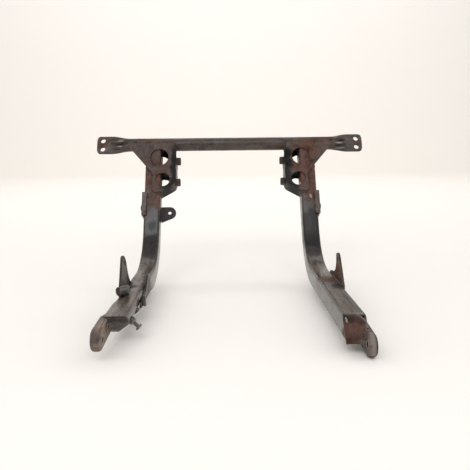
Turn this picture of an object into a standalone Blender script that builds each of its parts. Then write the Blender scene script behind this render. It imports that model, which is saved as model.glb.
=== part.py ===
# Lower engine cradle of a motorcycle frame: two bent square rails on a round crossbar,
# with engine mount boxes, frame lugs, tabs, clips and the remains of a side-stand bracket.
# Metres, +Z up. The origin is the middle of the crossbar's axis, +X runs along the crossbar,
# the rails drop from it and run level towards -Y, where the lugs are.
import bpy
import bmesh
from math import acos, atan2, cos, degrees, exp, hypot, pi, radians, sin, sqrt, tan
from mathutils import Euler, Vector

GAP = 0.0003                  # clearance between pieces that touch

# Rails: square tube, one straight upright, one bend, one level run
RAIL_SIDE = 0.030
RAIL_WALL = 0.002
RAIL_CORNER = 0.0042          # outer corner radius
RAIL_SPACING = 0.300          # between the two rails' middles
RAIL_DROP = 0.229             # crossbar axis down to the middle of the level run
UPRIGHT_ANGLE = radians(63)   # upright above the level
BEND_RADIUS = 0.120
RAIL_TOP_GAP = 0.004          # the rail starts this far below the crossbar's axis
END_Y = -0.417                # top edge of both open ends
RIGHT_END_LEAN = -0.025       # bottom edge of the right end, ahead of its top edge
LEFT_END_LEAN = 0.030         # bottom edge of the left end, behind its top edge
PRESSED_CORNER = 0.018        # flat pressed on the left rail's lower inner corner
PRESS_START_Y = -0.192
PRESS_FULL_Y = -0.240
BULGE = 0.0020                # the pressed tube swells outwards ahead of its tab
BULGE_START = 0.0745          # from the rail's end back to where the swelling starts
BULGE_TAB_GAP = 0.0045        # and at least this far ahead of the tab's toe
BULGE_LENGTH = 0.020          # over which it grows

# Crossbar: round tube, crushed flat and drilled at both ends
BAR_DIAMETER = 0.0254
BAR_WALL = 0.0026
BAR_LENGTH = 0.529
BAR_FLAT_HEIGHT = 0.0375
BAR_FLAT_LENGTH = 0.030
BAR_CRUSH_LENGTH = 0.038
BAR_SLIT = 0.0006             # left between the two crushed walls
BAR_END_CORNER = 0.007
BAR_SQUARENESS = 1.04         # how much of the crushed end is flat
BAR_CRIMP = 0.80              # how far the crimp follows the wall inwards
BAR_CRIMP_SPREAD = 0.34       # share of the radius over which the crimp fades
BAR_FLATNESS = 0.3            # power that squares the crushed section
BAR_HOLE_DIAMETER = 0.0105
BAR_HOLE_PITCH = 0.0182
BAR_HOLE_INSET = 0.0112       # from the tube's end to the holes' line

# Engine mount boxes, measured down the upright from the crossbar's axis
PLATE_THICKNESS = 0.003
WEB_SPACING = 0.212           # between the two webs' faces in the engine bay
WEB_TOP_SPREAD = 0.0035       # the web leans out this far at the crossbar
WEB_LEAN_END = 0.034
WEB_BOTTOM = 0.0905
FLOOR_BOTTOM = 0.1075
WEB_BEND = 0.004
PLATE_TOP = 0.005
GUSSET_REACH = 0.201          # from the middle of the object to the gusset's tip
GUSSET_TIP_DEPTH = 0.009
GUSSET_FOOT_DEPTH = 0.066
PLATE_FACE_EDGE = 0.1495      # the plate's edge on the rail's face
PLATE_FOOT = 0.109
PLATE_FOOT_CORNER = 0.004     # cut off the plate's outer lower corner
GUSSET_HEEL = (0.004, 0.008)  # from the gusset's foot to the edge on the rail: across, down
BACK_PLATE_EDGE = 0.156
UPPER_HOLE = (0.64, 0.0355, 0.70)       # share of the back plate's width, depth, and diameter's share
LOWER_HOLE = (0.50, 0.0825, 0.56)
MOUNT_NUT_DEPTHS = (0.0370, 0.0820)
MOUNT_BOLT = 0.008
MOUNT_BOLT_CLEARANCE = 0.0005
NUT_FLATS = 0.013
NUT_HEIGHT = 0.0078

# Clips on the outer sides of the uprights
CLIP_TOP = 0.108
CLIP_LENGTH = 0.0465
CLIP_THICKNESS = 0.0035
CLIP_LIP = 0.0052             # how far the lips reach over the rail's faces
CLIP_BOLT_DEPTH = 0.1345
CLIP_BOLT_FLATS = 0.010
CLIP_BOLT_HEIGHT = 0.0036

# Ear on the inner side of the left upright
EAR_DEPTH = 0.1405            # down the upright to the ear's hole
EAR_REACH = 0.0158            # from the rail's side to the ear's hole
EAR_RADIUS = 0.0122
EAR_ROOT_DEPTH = 0.160
EAR_HOLE = 0.0065
EAR_THICKNESS = 0.003

# Tabs that stand on the outer sides of the level runs
TAB_THICKNESS = 0.0035
TAB_HOLE = 0.0075
TAB_OVERLAP = 0.011           # down the rail's side
TAB_BACK_SLOPE = 0.016        # how far the back edge moves forward as it rises
TAB_SHOULDER = 0.0015         # the back edge's corner above the rail's top face
TAB_SAG = (0.30, 0.0030)      # how the back edge sags: share of its height, and rise
RIGHT_TAB_HOLE_AT = (-0.2485, 0.0315)     # Y, and height above the rail's top face
RIGHT_TAB_RADIUS = 0.0100
RIGHT_TAB_FOOT = (-0.199, -0.290)
RIGHT_TAB_FRONT_RISE = -0.001
LEFT_TAB_HOLE_AT = (-0.2765, 0.0364)
LEFT_TAB_RADIUS = 0.0115
LEFT_TAB_FOOT = (-0.2560, -0.3280)
LEFT_TAB_FRONT_RISE = 0.0125  # the front edge stands this far above the rail's top face
LEFT_TAB_INSET = 0.0048       # the left tab stands on the rail's top face, this far inside its side
LEFT_TAB_BASE = 0.0006        # its foot above that face, clear of it when it leans
LEFT_TAB_LEAN = -radians(9)   # outwards
TOE_REACH = 0.008             # the left tab's toe, ahead of its bolt
TOE_RISE = 0.011              # and above the rail's top face
BOSS_DIAMETER = 0.0144
BOSS_LENGTH = 0.0110
BOSS_Y = -0.3300
BOSS_EDGE = 0.0012
TAB_BOLT_DIAMETER = 0.006
TAB_BOLT_HEAD = 0.0128
TAB_BOLT_HEAD_HEIGHT = 0.0040

# Lugs on the free ends: a thick eye beside the rail, a cap over the end
LUG_HOLE = 0.0095
LUG_SECOND_HOLE = 0.0085
LUG_FILLET = 0.006            # between the eye and the cap
LUG_OVERLAP = 0.001           # how far the lug's shapes run into each other
LUG_STEP = 0.0001             # the cap stands this much further off the rail's end than the eye
RIGHT_LUG_THICKNESS = 0.0105
RIGHT_LUG_INSET = 0.0060      # the lug's inner face, inside the rail's outer side
RIGHT_LUG_EYE = (END_Y - 0.0310, -RAIL_DROP - 0.0157)
RIGHT_LUG_RADIUS = 0.0148
RIGHT_LUG_ROOT = (END_Y + 0.0130, -RAIL_DROP + 0.0030, -RAIL_DROP - 0.0272)     # Y, top and bottom Z
RIGHT_LUG_CREST = (END_Y + 0.0005, -RAIL_DROP + 0.0015)      # its upper corner at the rail's end
RIGHT_LUG_HOLES = ((END_Y - 0.0348, -RAIL_DROP - 0.0138),)
RIGHT_CAP_THICKNESS = 0.0045
RIGHT_CAP_TOP = 0.0040        # down the end from the rail's top edge
RIGHT_CAP_BELOW = 0.0020      # past the rail's bottom edge
CAP_NOTCH = (0.0055, 0.0125)  # open corner: width, and how far down the end it reaches
CAP_SLOPE_START = 0.0120      # the cap's top slopes to the eye over this width
RIGHT_FILLET_SPAN = (0.50, 0.96)        # shares of the slanted end that the fillet covers
LEFT_LUG_THICKNESS = 0.0115
LEFT_LUG_INSET = 0.0052
LEFT_LUG_EYE = (END_Y - 0.0328, -RAIL_DROP - 0.0022)
LEFT_LUG_RADIUS = 0.0143
LEFT_LUG_ROOT = (END_Y + 0.0160, -RAIL_DROP + 0.0110, -RAIL_DROP - 0.0125)
LEFT_LUG_CREST = (END_Y + 0.0070, -RAIL_DROP + 0.0138)
LEFT_LUG_HOLES = ((END_Y - 0.0300, -RAIL_DROP - 0.0035), (END_Y - 0.0014, -RAIL_DROP + 0.0010))
LEFT_CAP_THICKNESS = 0.0026
LEFT_CAP_ABOVE_FOOT = 0.0030
LEFT_CAP_TOP = 0.0005
LEFT_FILLET_SPAN = (0.15, 0.62)

# Side-stand bracket on the inner side of the left rail
STAND_PLATE = 0.0030
STAND_BACK_Y = -0.241
STAND_PEAK_Y = -0.256
STAND_PEAK_RISE = 0.0150      # above the rail's top face
STAND_STEP = (-0.291, 0.0045)           # Y, and depth below the rail's top face
STAND_DIP = (-0.305, 0.0085)
STAND_FRONT = (-0.332, 0.0125)
STAND_DEPTH = 0.0175          # its lower edge below the rail's top face
STOP_SIZE = (0.0042, 0.0070, 0.0158)
STOP_CORNER = 0.0020          # cut off the stop's upper front corner
STOP_Y = -0.320
PIN_Y = END_Y + 0.032
PIN_DOWN = 0.0042             # down the pressed flat from its upper edge
PIN_SHANK = 0.0050
PIN_LENGTH = 0.0170           # from the flat to the top of the head
PIN_HEAD = 0.0100
PIN_HEAD_HEIGHT = 0.0026
PIN_TAIL = 0.005              # inside the rail
PIN_HEAD_EDGE = 0.0006
PIN_SEAT_FLATS = 0.0100
PIN_SEAT_HEIGHT = 0.0038
WASHER_DIAMETER = 0.0100
WASHER_THICKNESS = 0.0018
STAND_NUT_Y = END_Y + 0.079
STAND_NUT_DOWN = 0.0070
STAND_NUT_FLATS = 0.0090
STAND_NUT_HEIGHT = 0.0045
STAND_NUT_BORE = 0.0048

PLATE_EDGE = 0.0004           # rounding of sheared edges
STAND_EDGE = 0.0006
CLIP_EDGE = 0.0009
FORGED_EDGE = 0.0034          # rounding of forged edges
ROUND_STEPS = 28
BAR_STEPS = 24

HALF = RAIL_SIDE / 2
BAR_RADIUS = BAR_DIAMETER / 2
RAIL_X = RAIL_SPACING / 2
OUTER_X = RAIL_X + HALF
INNER_X = RAIL_X - HALF
LEVEL_TOP = HALF - RAIL_DROP
LEVEL_BOTTOM = -HALF - RAIL_DROP
CORNER_Y = -RAIL_DROP / tan(UPRIGHT_ANGLE)
BEND_TANGENT = BEND_RADIUS * tan(UPRIGHT_ANGLE / 2)
FACE_N = HALF + GAP           # where plates lie on the upright's faces
ALONG_X = Euler((0, pi / 2, 0))
SIDEWAYS = Euler((pi / 2, 0, pi / 2))    # a plate drawn as (Y, Z), with its thickness along X

for old in list(bpy.data.objects):
    bpy.data.objects.remove(old, do_unlink=True)

parts = bpy.data.collections.new("engine_mount_bracket")
cutters = bpy.data.collections.new("cutters")
for collection in (parts, cutters):
    bpy.context.scene.collection.children.link(collection)


def make_material(name, color, metallic, roughness):
    material = bpy.data.materials.new(name)
    material.use_nodes = True
    shader = material.node_tree.nodes["Principled BSDF"]
    shader.inputs["Base Color"].default_value = (*color, 1)
    shader.inputs["Metallic"].default_value = metallic
    shader.inputs["Roughness"].default_value = roughness
    return material


BLACK_PAINT = make_material("black_paint", (0.045, 0.042, 0.042), 0.0, 0.35)
RUSTY_PAINT = make_material("rusty_paint", (0.085, 0.045, 0.035), 0.0, 0.65)
RUST = make_material("rust", (0.160, 0.062, 0.038), 0.0, 0.85)
BARE_STEEL = make_material("dull_steel", (0.160, 0.145, 0.130), 0.8, 0.5)


def make_frame(name, location, tilt=0, lean=0):
    """An empty tilted about X, or leaning sideways about Y."""
    frame = bpy.data.objects.new(name, None)
    frame.location = location
    frame.rotation_euler = (tilt, lean, 0)
    parts.objects.link(frame)
    return frame


def link(obj, material=None, parent=None, cutter=False):
    (cutters if cutter else parts).objects.link(obj)
    obj.parent = parent
    if cutter:
        obj.hide_render = True
        obj.display_type = "WIRE"
    if material:
        obj.data.materials.append(material)
    return obj


def mesh_from(name, bm):
    bmesh.ops.recalc_face_normals(bm, faces=bm.faces)
    mesh = bpy.data.meshes.new(name)
    bm.to_mesh(mesh)
    bm.free()
    return bpy.data.objects.new(name, mesh)


def soften(obj, width, segments=1):
    bevel = obj.modifiers.new("edges", "BEVEL")
    bevel.width = width
    bevel.segments = segments
    bevel.limit_method = "ANGLE"
    bevel.angle_limit = radians(40)
    return obj


def shade(obj, angle=35):
    obj.data.shade_smooth()
    obj.data.set_sharp_from_angle(angle=radians(angle))
    return obj


def boolean(obj, other, operation="DIFFERENCE"):
    modifier = obj.modifiers.new(operation.lower(), "BOOLEAN")
    modifier.operation = operation
    modifier.object = other
    return obj


def arc(center, radius, start, end, steps):
    """Points on a circle from one angle to another, both given in degrees."""
    points = []
    for i in range(steps + 1):
        angle = radians(start + (end - start) * i / steps)
        points.append((center[0] + radius * cos(angle), center[1] + radius * sin(angle)))
    return points


def circle(center, diameter, steps=ROUND_STEPS):
    return arc(center, diameter / 2, 0, 360 * (steps - 1) / steps, steps - 1)


def mirrored(points, side):
    return [(side * a, b) for a, b in points]


def plate(name, loops, thickness, material, parent=None, location=(0, 0, 0), turn=(0, 0, 0),
          edge=PLATE_EDGE, segments=1, cutter=False):
    """A flat piece: closed outlines in its own XY plane, the first one outside, the rest holes."""
    curve = bpy.data.curves.new(name, "CURVE")
    curve.dimensions = "2D"
    curve.fill_mode = "BOTH"
    curve.extrude = thickness / 2
    for loop in loops:
        spline = curve.splines.new("POLY")
        spline.points.add(len(loop) - 1)
        for point, (a, b) in zip(spline.points, loop):
            point.co = (a, b, 0, 1)
        spline.use_cyclic_u = True
    drawn = bpy.data.objects.new(name + "_outline", curve)
    cutters.objects.link(drawn)
    view = bpy.context.evaluated_depsgraph_get()
    mesh = bpy.data.meshes.new_from_object(drawn.evaluated_get(view))
    bpy.data.objects.remove(drawn, do_unlink=True)
    bpy.data.curves.remove(curve)
    bm = bmesh.new()
    bm.from_mesh(mesh)
    bpy.data.meshes.remove(mesh)
    bmesh.ops.remove_doubles(bm, verts=bm.verts, dist=0.00001)
    bmesh.ops.dissolve_limit(bm, angle_limit=radians(1), verts=bm.verts, edges=bm.edges)
    obj = link(mesh_from(name, bm), material, parent, cutter)
    obj.location = location
    obj.rotation_euler = turn
    if edge:
        soften(obj, edge, segments)
    return obj


def rod(name, radius, length, material=None, parent=None, location=(0, 0, 0), turn=(0, 0, 0),
        sides=ROUND_STEPS, cutter=False):
    """A round or many-sided solid along its own Z, centred on its location."""
    bm = bmesh.new()
    bmesh.ops.create_cone(bm, cap_ends=True, segments=sides, radius1=radius, radius2=radius, depth=length)
    obj = link(mesh_from(name, bm), material, parent, cutter)
    obj.location = location
    obj.rotation_euler = turn
    return obj


def loft(rings, closed_path=False):
    """Skin between rings of equal count, each a list of points; the ends stay open."""
    bm = bmesh.new()
    rows = [[bm.verts.new(point) for point in ring] for ring in rings]
    pairs = list(zip(rows, rows[1:]))
    if closed_path:
        pairs.append((rows[-1], rows[0]))
    for row, following in pairs:
        count = len(row)
        for i in range(count):
            j = (i + 1) % count
            bm.faces.new((row[i], row[j], following[j], following[i]))
    return bm


def rail_section(half, corner, pressed):
    """Rounded square; pressed runs from 0 to 1 as the lower inner corner becomes a flat."""
    cut = PRESSED_CORNER - (HALF - half) * (2 - sqrt(2))
    points = []
    for quarter, (sx, sy) in enumerate(((1, 1), (-1, 1), (-1, -1), (1, -1))):
        center = (sx * (half - corner), sy * (half - corner))
        round_corner = arc(center, corner, 90 * quarter, 90 * quarter + 90, 4)
        if quarter == 3:
            start, end = (half - cut, -half), (half, cut - half)
            count = len(round_corner) - 1
            flat = [(start[0] + (end[0] - start[0]) * i / count,
                     start[1] + (end[1] - start[1]) * i / count) for i in range(count + 1)]
            round_corner = [(a + (c - a) * pressed, b + (d - b) * pressed)
                            for (a, b), (c, d) in zip(round_corner, flat)]
        points += round_corner
    return points


def rail_stations(pressed_here):
    """Middle, lean, press and bulge of each section along the rail, from the crossbar to the end."""
    down = Vector((0, -cos(UPRIGHT_ANGLE), -sin(UPRIGHT_ANGLE)))
    bend_start = RAIL_DROP / sin(UPRIGHT_ANGLE) - BEND_TANGENT
    stations = [(down * RAIL_TOP_GAP, UPRIGHT_ANGLE, 0, 0), (down * bend_start, UPRIGHT_ANGLE, 0, 0)]
    pivot_z = BEND_RADIUS - RAIL_DROP
    bend_end_y = CORNER_Y - BEND_TANGENT
    steps = 12
    for i in range(1, steps + 1):
        angle = UPRIGHT_ANGLE * (1 - i / steps)
        middle = Vector((0, bend_end_y + BEND_RADIUS * sin(angle), pivot_z - BEND_RADIUS * cos(angle)))
        stations.append((middle, angle, 0, 0))
    if pressed_here:
        steps = 5
        start = min(PRESS_START_Y, bend_end_y - 0.001)
        for i in range(1, steps + 1):
            share = i / steps
            y = start + (PRESS_FULL_Y - start) * share
            stations.append((Vector((0, y, -RAIL_DROP)), 0, share * share * (3 - 2 * share), 0))
        bulge_y = min(END_Y + BULGE_START, BOSS_Y - TOE_REACH - BULGE_TAB_GAP)
        bulge_length = min(BULGE_LENGTH, (bulge_y - END_Y) / 3)
        stations.append((Vector((0, bulge_y, -RAIL_DROP)), 0, 1, 0))
        stations.append((Vector((0, bulge_y - bulge_length, -RAIL_DROP)), 0, 1, BULGE))
    stations.append((Vector((0, END_Y, -RAIL_DROP)), 0, *((1, BULGE) if pressed_here else (0, 0))))
    return stations


def rail_skin(side, wall, grow=0.0):
    """Rings of one skin of a rail, wall inwards from the outside and grow outwards from it."""
    half = HALF - wall + grow
    corner = max(RAIL_CORNER - wall, 0.001)
    lean = RIGHT_END_LEAN if side > 0 else LEFT_END_LEAN
    stations = rail_stations(side < 0)
    rings = []
    for index, (middle, angle, pressed, bulge) in enumerate(stations):
        out = Vector((0, -sin(angle), cos(angle)))
        ring = []
        for a, b in rail_section(half, corner, pressed):
            point = middle + out * b
            point.x = side * (RAIL_X - a + bulge * max(-a / half, 0))
            if index == len(stations) - 1:
                # the end face leans: its top edge is at END_Y and its bottom edge is lean away
                point.y = END_Y + lean * (LEVEL_TOP - point.z) / RAIL_SIDE
                point.y -= grow * sqrt(1 + (lean / RAIL_SIDE) ** 2)
            ring.append(point)
        rings.append(ring)
    return rings


def rail(name, side, material):
    outside = rail_skin(side, 0)
    inside = rail_skin(side, RAIL_WALL)
    # outside to the end, back along the inside, and round again: one closed tube wall
    bm = loft(outside + inside[::-1], closed_path=True)
    obj = link(mesh_from(name, bm), material)
    saddle = rod(name + "_saddle", BAR_RADIUS + GAP, RAIL_SIDE * 1.5, location=(side * RAIL_X, 0, 0),
                 turn=ALONG_X, cutter=True)
    boolean(obj, saddle)
    return shade(obj)


def rail_envelope(name, side):
    """The rail's outside grown by the clearance, to shape what is welded round its end."""
    bm = loft(rail_skin(side, 0, GAP)[-2:])
    bmesh.ops.holes_fill(bm, edges=bm.edges)
    return link(mesh_from(name, bm), cutter=True)


def bar_ring(x, wall):
    """Section of the crossbar at x: round, then crimped, then flat, in the upright's frame."""
    flat_start = BAR_LENGTH / 2 - BAR_FLAT_LENGTH
    share = min(max((x - flat_start + BAR_CRUSH_LENGTH) / BAR_CRUSH_LENGTH, 0), 1)
    flat = share * share * (3 - 2 * share)
    radius = BAR_RADIUS - wall
    height = BAR_FLAT_HEIGHT / 2 - wall
    past = x - (BAR_LENGTH / 2 - BAR_END_CORNER)
    if past > 0:
        height -= BAR_END_CORNER - sqrt(max(BAR_END_CORNER ** 2 - past ** 2, 0))
    thickness = BAR_WALL + BAR_SLIT / 2 - wall
    crimp = BAR_CRIMP * sin(pi * share) ** 2
    ring = []
    for i in range(BAR_STEPS):
        angle = 2 * pi * i / BAR_STEPS
        up, out = sin(angle), cos(angle)
        squared = min(1, BAR_SQUARENESS * abs(out) ** BAR_FLATNESS) * (1 if out >= 0 else -1)
        u = radius * up * (1 - flat) + height * up * flat
        n = radius * out * (1 - flat) + thickness * squared * flat
        inner = (BAR_RADIUS - BAR_WALL) * out * (1 - flat)
        n -= crimp * inner * exp(-(up / BAR_CRIMP_SPREAD) ** 2)
        ring.append((x, u, n))
    return ring


def crossbar():
    flat_start = BAR_LENGTH / 2 - BAR_FLAT_LENGTH
    stations = [0, flat_start - BAR_CRUSH_LENGTH]
    crush_steps, corner_steps = 8, 4
    stations += [flat_start - BAR_CRUSH_LENGTH * (1 - i / crush_steps) for i in range(1, crush_steps + 1)]
    stations += [BAR_LENGTH / 2 - BAR_END_CORNER * (1 - sin(radians(90 * i / corner_steps)))
                 for i in range(corner_steps + 1)]
    outside = [bar_ring(x, 0) for x in stations]
    inside = [bar_ring(x, BAR_WALL) for x in stations]
    bm = loft(outside + inside[::-1])
    bmesh.ops.recalc_face_normals(bm, faces=bm.faces)
    obj = link(mesh_from("crossbar", bm), RUSTY_PAINT, UPRIGHT)
    mirror = obj.modifiers.new("other_half", "MIRROR")
    mirror.merge_threshold = 0.00005
    for side in (-1, 1):
        for row in (-1, 1):
            x = side * (BAR_LENGTH / 2 - BAR_HOLE_INSET)
            name = f"bar_hole_{'left' if side < 0 else 'right'}_{'lower' if row < 0 else 'upper'}"
            hole = rod(name, BAR_HOLE_DIAMETER / 2, BAR_DIAMETER, parent=UPRIGHT,
                       location=(x, row * BAR_HOLE_PITCH / 2, 0), cutter=True)
            boolean(obj, hole)
    return shade(obj, 40)


def web_line():
    """The outer face of the folded web and floor, from the crossbar down to the rail."""
    face = WEB_SPACING / 2
    top = (face + WEB_TOP_SPREAD, -(BAR_RADIUS + GAP))
    knee = (face, -WEB_LEAN_END)
    corner = (face, -WEB_BOTTOM)
    foot = (INNER_X - GAP, -FLOOR_BOTTOM)
    return [top, knee, corner, foot]


def toward(point, other, distance):
    length = hypot(other[0] - point[0], other[1] - point[1])
    return (point[0] + (other[0] - point[0]) * distance / length,
            point[1] + (other[1] - point[1]) * distance / length)


def offset_line(line, distance):
    """The same open line moved to its left by distance, with its corners kept."""
    moved = []
    for i, point in enumerate(line):
        before = line[i - 1] if i else None
        after = line[i + 1] if i + 1 < len(line) else None
        normals = []
        for a, b in ((before, point), (point, after)):
            if a and b:
                length = hypot(b[0] - a[0], b[1] - a[1])
                normals.append((-(b[1] - a[1]) / length, (b[0] - a[0]) / length))
        nx = sum(n[0] for n in normals)
        ny = sum(n[1] for n in normals)
        scale = distance * len(normals) / (nx * nx + ny * ny)
        moved.append((point[0] + nx * scale, point[1] + ny * scale))
    return moved


def rounded(line, index, radius, steps=4):
    """The line with one corner turned into a round bend."""
    before, corner, after = line[index - 1], line[index], line[index + 1]
    start, end = toward(corner, before, radius), toward(corner, after, radius)
    bend = []
    for i in range(steps + 1):
        t = i / steps
        bend.append(tuple((1 - t) ** 2 * start[k] + 2 * t * (1 - t) * corner[k] + t * t * end[k]
                          for k in range(2)))
    return line[:index] + bend + line[index + 1:]


def mount_web(name, side, material):
    face = web_line()
    outer = rounded(face, 2, WEB_BEND + PLATE_THICKNESS)
    inner = rounded(offset_line(face, PLATE_THICKNESS), 2, WEB_BEND)
    # both ends are cut to what they meet: level at the crossbar, upright at the rail
    inner[0] = (inner[0][0], outer[0][1])
    inner[-1] = (outer[-1][0], inner[-1][1])
    outline = mirrored(outer + inner[::-1], side)
    obj = plate(name, [outline], RAIL_SIDE, material, UPRIGHT)
    for depth in MOUNT_NUT_DEPTHS:
        hole = rod(f"{name}_hole_{round(depth * 1000)}", MOUNT_BOLT / 2 + MOUNT_BOLT_CLEARANCE,
                   PLATE_THICKNESS * 4, parent=UPRIGHT, location=(side * WEB_SPACING / 2, -depth, 0),
                   turn=ALONG_X, cutter=True)
        boolean(obj, hole)
    return obj


def box_edge():
    """Edge of the box plates along the web and the floor, from the crossbar to the rail."""
    face = rounded(web_line(), 2, WEB_BEND + PLATE_THICKNESS)
    top = (face[0][0], -PLATE_TOP)
    return [top] + face


def mount_plates(side, tag):
    web = WEB_SPACING / 2
    width = BACK_PLATE_EDGE - web
    holes = [mirrored(circle((web + across * width, -depth), share * width), side)
             for across, depth, share in (UPPER_HOLE, LOWER_HOLE)]
    middle = FACE_N + PLATE_THICKNESS / 2
    heel_across, heel_down = GUSSET_HEEL
    front = box_edge() + [(PLATE_FACE_EDGE - PLATE_FOOT_CORNER, -PLATE_FOOT),
                          (PLATE_FACE_EDGE, -PLATE_FOOT + PLATE_FOOT_CORNER),
                          (PLATE_FACE_EDGE, -GUSSET_FOOT_DEPTH - heel_down),
                          (PLATE_FACE_EDGE + heel_across, -GUSSET_FOOT_DEPTH),
                          (GUSSET_REACH, -GUSSET_TIP_DEPTH), (GUSSET_REACH, -PLATE_TOP)]
    back = box_edge() + [(BACK_PLATE_EDGE, -FLOOR_BOTTOM), (BACK_PLATE_EDGE, -PLATE_TOP)]
    plate("mount_plate_front_" + tag, [mirrored(front, side)] + holes, PLATE_THICKNESS, RUSTY_PAINT,
          UPRIGHT, (0, 0, middle))
    plate("mount_plate_back_" + tag, [mirrored(back, side)] + holes, PLATE_THICKNESS, BLACK_PAINT,
          UPRIGHT, (0, 0, -middle))
    mount_web("mount_web_" + tag, side, BLACK_PAINT)
    for depth, row in zip(MOUNT_NUT_DEPTHS, ("upper", "lower")):
        hexagon(f"mount_nut_{row}_{tag}", NUT_FLATS, NUT_HEIGHT, MOUNT_BOLT, RUST, UPRIGHT,
                (side * (WEB_SPACING / 2 - GAP - NUT_HEIGHT / 2), -depth, 0), ALONG_X)


def turned(name, profile, material=None, parent=None, location=(0, 0, 0), turn=(0, 0, 0),
           steps=24, closed=False, cutter=False):
    """A turned solid about its own Z; the profile runs down its outer side, as (radius, z)."""
    bm = bmesh.new()
    verts = [bm.verts.new((radius, 0, z)) for radius, z in profile]
    for a, b in zip(verts, verts[1:] + verts[:1] if closed else verts[1:]):
        bm.edges.new((a, b))
    mesh = bpy.data.meshes.new(name)
    bm.to_mesh(mesh)
    bm.free()
    obj = link(bpy.data.objects.new(name, mesh), material, parent, cutter)
    obj.location = location
    obj.rotation_euler = turn
    screw = obj.modifiers.new("turning", "SCREW")
    screw.steps = steps
    screw.render_steps = steps
    screw.use_merge_vertices = True
    screw.merge_threshold = 0.00001
    return obj


def hexagon(name, flats, height, bore, material, parent, location, turn):
    """A pressed nut, or a bolt head where there is no bore: its corners are turned off."""
    across = flats / cos(radians(30))
    loops = [arc((0, 0), across / 2, 0, 300, 5)]
    if bore:
        loops.append(circle((0, 0), bore, 20))
    obj = plate(name, loops, height, material, parent, location, turn, edge=0)
    rim = (across - flats) / 2
    drum = [(0, height / 2 + GAP), (flats / 2, height / 2 + GAP), (across / 2 + GAP, height / 2 - rim),
            (across / 2 + GAP, rim - height / 2), (flats / 2, -height / 2 - GAP), (0, -height / 2 - GAP)]
    turned(name + "_turning", drum, parent=parent, location=location, turn=turn, cutter=True)
    return boolean(obj, bpy.data.objects[name + "_turning"], "INTERSECT")


def side_clip(side, tag):
    """A folded clip: its web lies on the rail's outer side, its lips reach over both faces."""
    outer = OUTER_X + GAP + CLIP_THICKNESS
    lip = OUTER_X - CLIP_LIP
    face = FACE_N + CLIP_THICKNESS
    outline = [(lip, face), (lip, FACE_N), (OUTER_X + GAP, FACE_N), (OUTER_X + GAP, -FACE_N),
               (lip, -FACE_N), (lip, -face), (outer, -face), (outer, face)]
    # the outline lies across the upright, so the clip's length is its thickness
    middle = -CLIP_TOP - CLIP_LENGTH / 2
    plate("side_clip_" + tag, [mirrored(outline, side)], CLIP_LENGTH, RUSTY_PAINT, UPRIGHT,
          (0, middle, 0), (pi / 2, 0, 0), edge=CLIP_EDGE, segments=2)
    head_x = side * (outer + GAP + CLIP_BOLT_HEIGHT / 2)
    hexagon("side_clip_bolt_" + tag, CLIP_BOLT_FLATS, CLIP_BOLT_HEIGHT, 0, RUST, UPRIGHT,
            (head_x, -CLIP_BOLT_DEPTH, 0), ALONG_X)


def tangent_points(point, center, radius):
    """The two points where lines from a point touch a circle, the left one first."""
    reach = hypot(point[0] - center[0], point[1] - center[1])
    base = atan2(point[1] - center[1], point[0] - center[0])
    swing = acos(radius / reach)
    return [degrees(base + swing), degrees(base - swing)]


def ear_left():
    root_x = INNER_X - GAP
    eye = (root_x - EAR_REACH, -EAR_DEPTH)
    root_foot = (root_x, -EAR_ROOT_DEPTH)
    # mirrored to the left afterwards: the eye points away from the rail
    start = tangent_points(root_foot, eye, EAR_RADIUS)[1]
    outline = [root_foot] + arc(eye, EAR_RADIUS, start, start - (start + 270) % 360, 14)
    outline += [(root_x, eye[1] + EAR_RADIUS)]
    plate("hose_ear_left", [mirrored(outline, -1), mirrored(circle(eye, EAR_HOLE, 16), -1)],
          EAR_THICKNESS, BLACK_PAINT, UPRIGHT, (0, 0, EAR_THICKNESS / 2 - HALF))


def curved(start, control, end, steps=6):
    """Points of a sagging edge between start and end, both left out."""
    points = []
    for i in range(1, steps):
        t = i / steps
        points.append(tuple((1 - t) ** 2 * start[k] + 2 * t * (1 - t) * control[k] + t * t * end[k]
                            for k in range(2)))
    return points


def standing_tab(name, eye, radius, foot, base, front_rise, frame, toe=()):
    """A tall rounded tab; foot is its back and front as Y, heights are above the rail's top face."""
    back, front = foot
    shoulder = (back, TAB_SHOULDER)
    knee = (front, front_rise)
    back_angle = tangent_points((back - TAB_BACK_SLOPE, 0), eye, radius)[0]
    front_angle = tangent_points(knee, eye, radius)[1]
    top = arc(eye, radius, back_angle, front_angle % 360, 10)
    lean, rise = TAB_SAG
    control = (top[0][0] + (rise - top[0][1]) * lean, rise)
    outline = [(back, base), shoulder] + curved(shoulder, control, top[0]) + top + [knee]
    outline += list(toe) + [(toe[-1][0] if toe else front, base)]
    return plate(name, [outline, circle(eye, TAB_HOLE, 20)], TAB_THICKNESS, RUSTY_PAINT, frame,
                 turn=SIDEWAYS)


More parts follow.
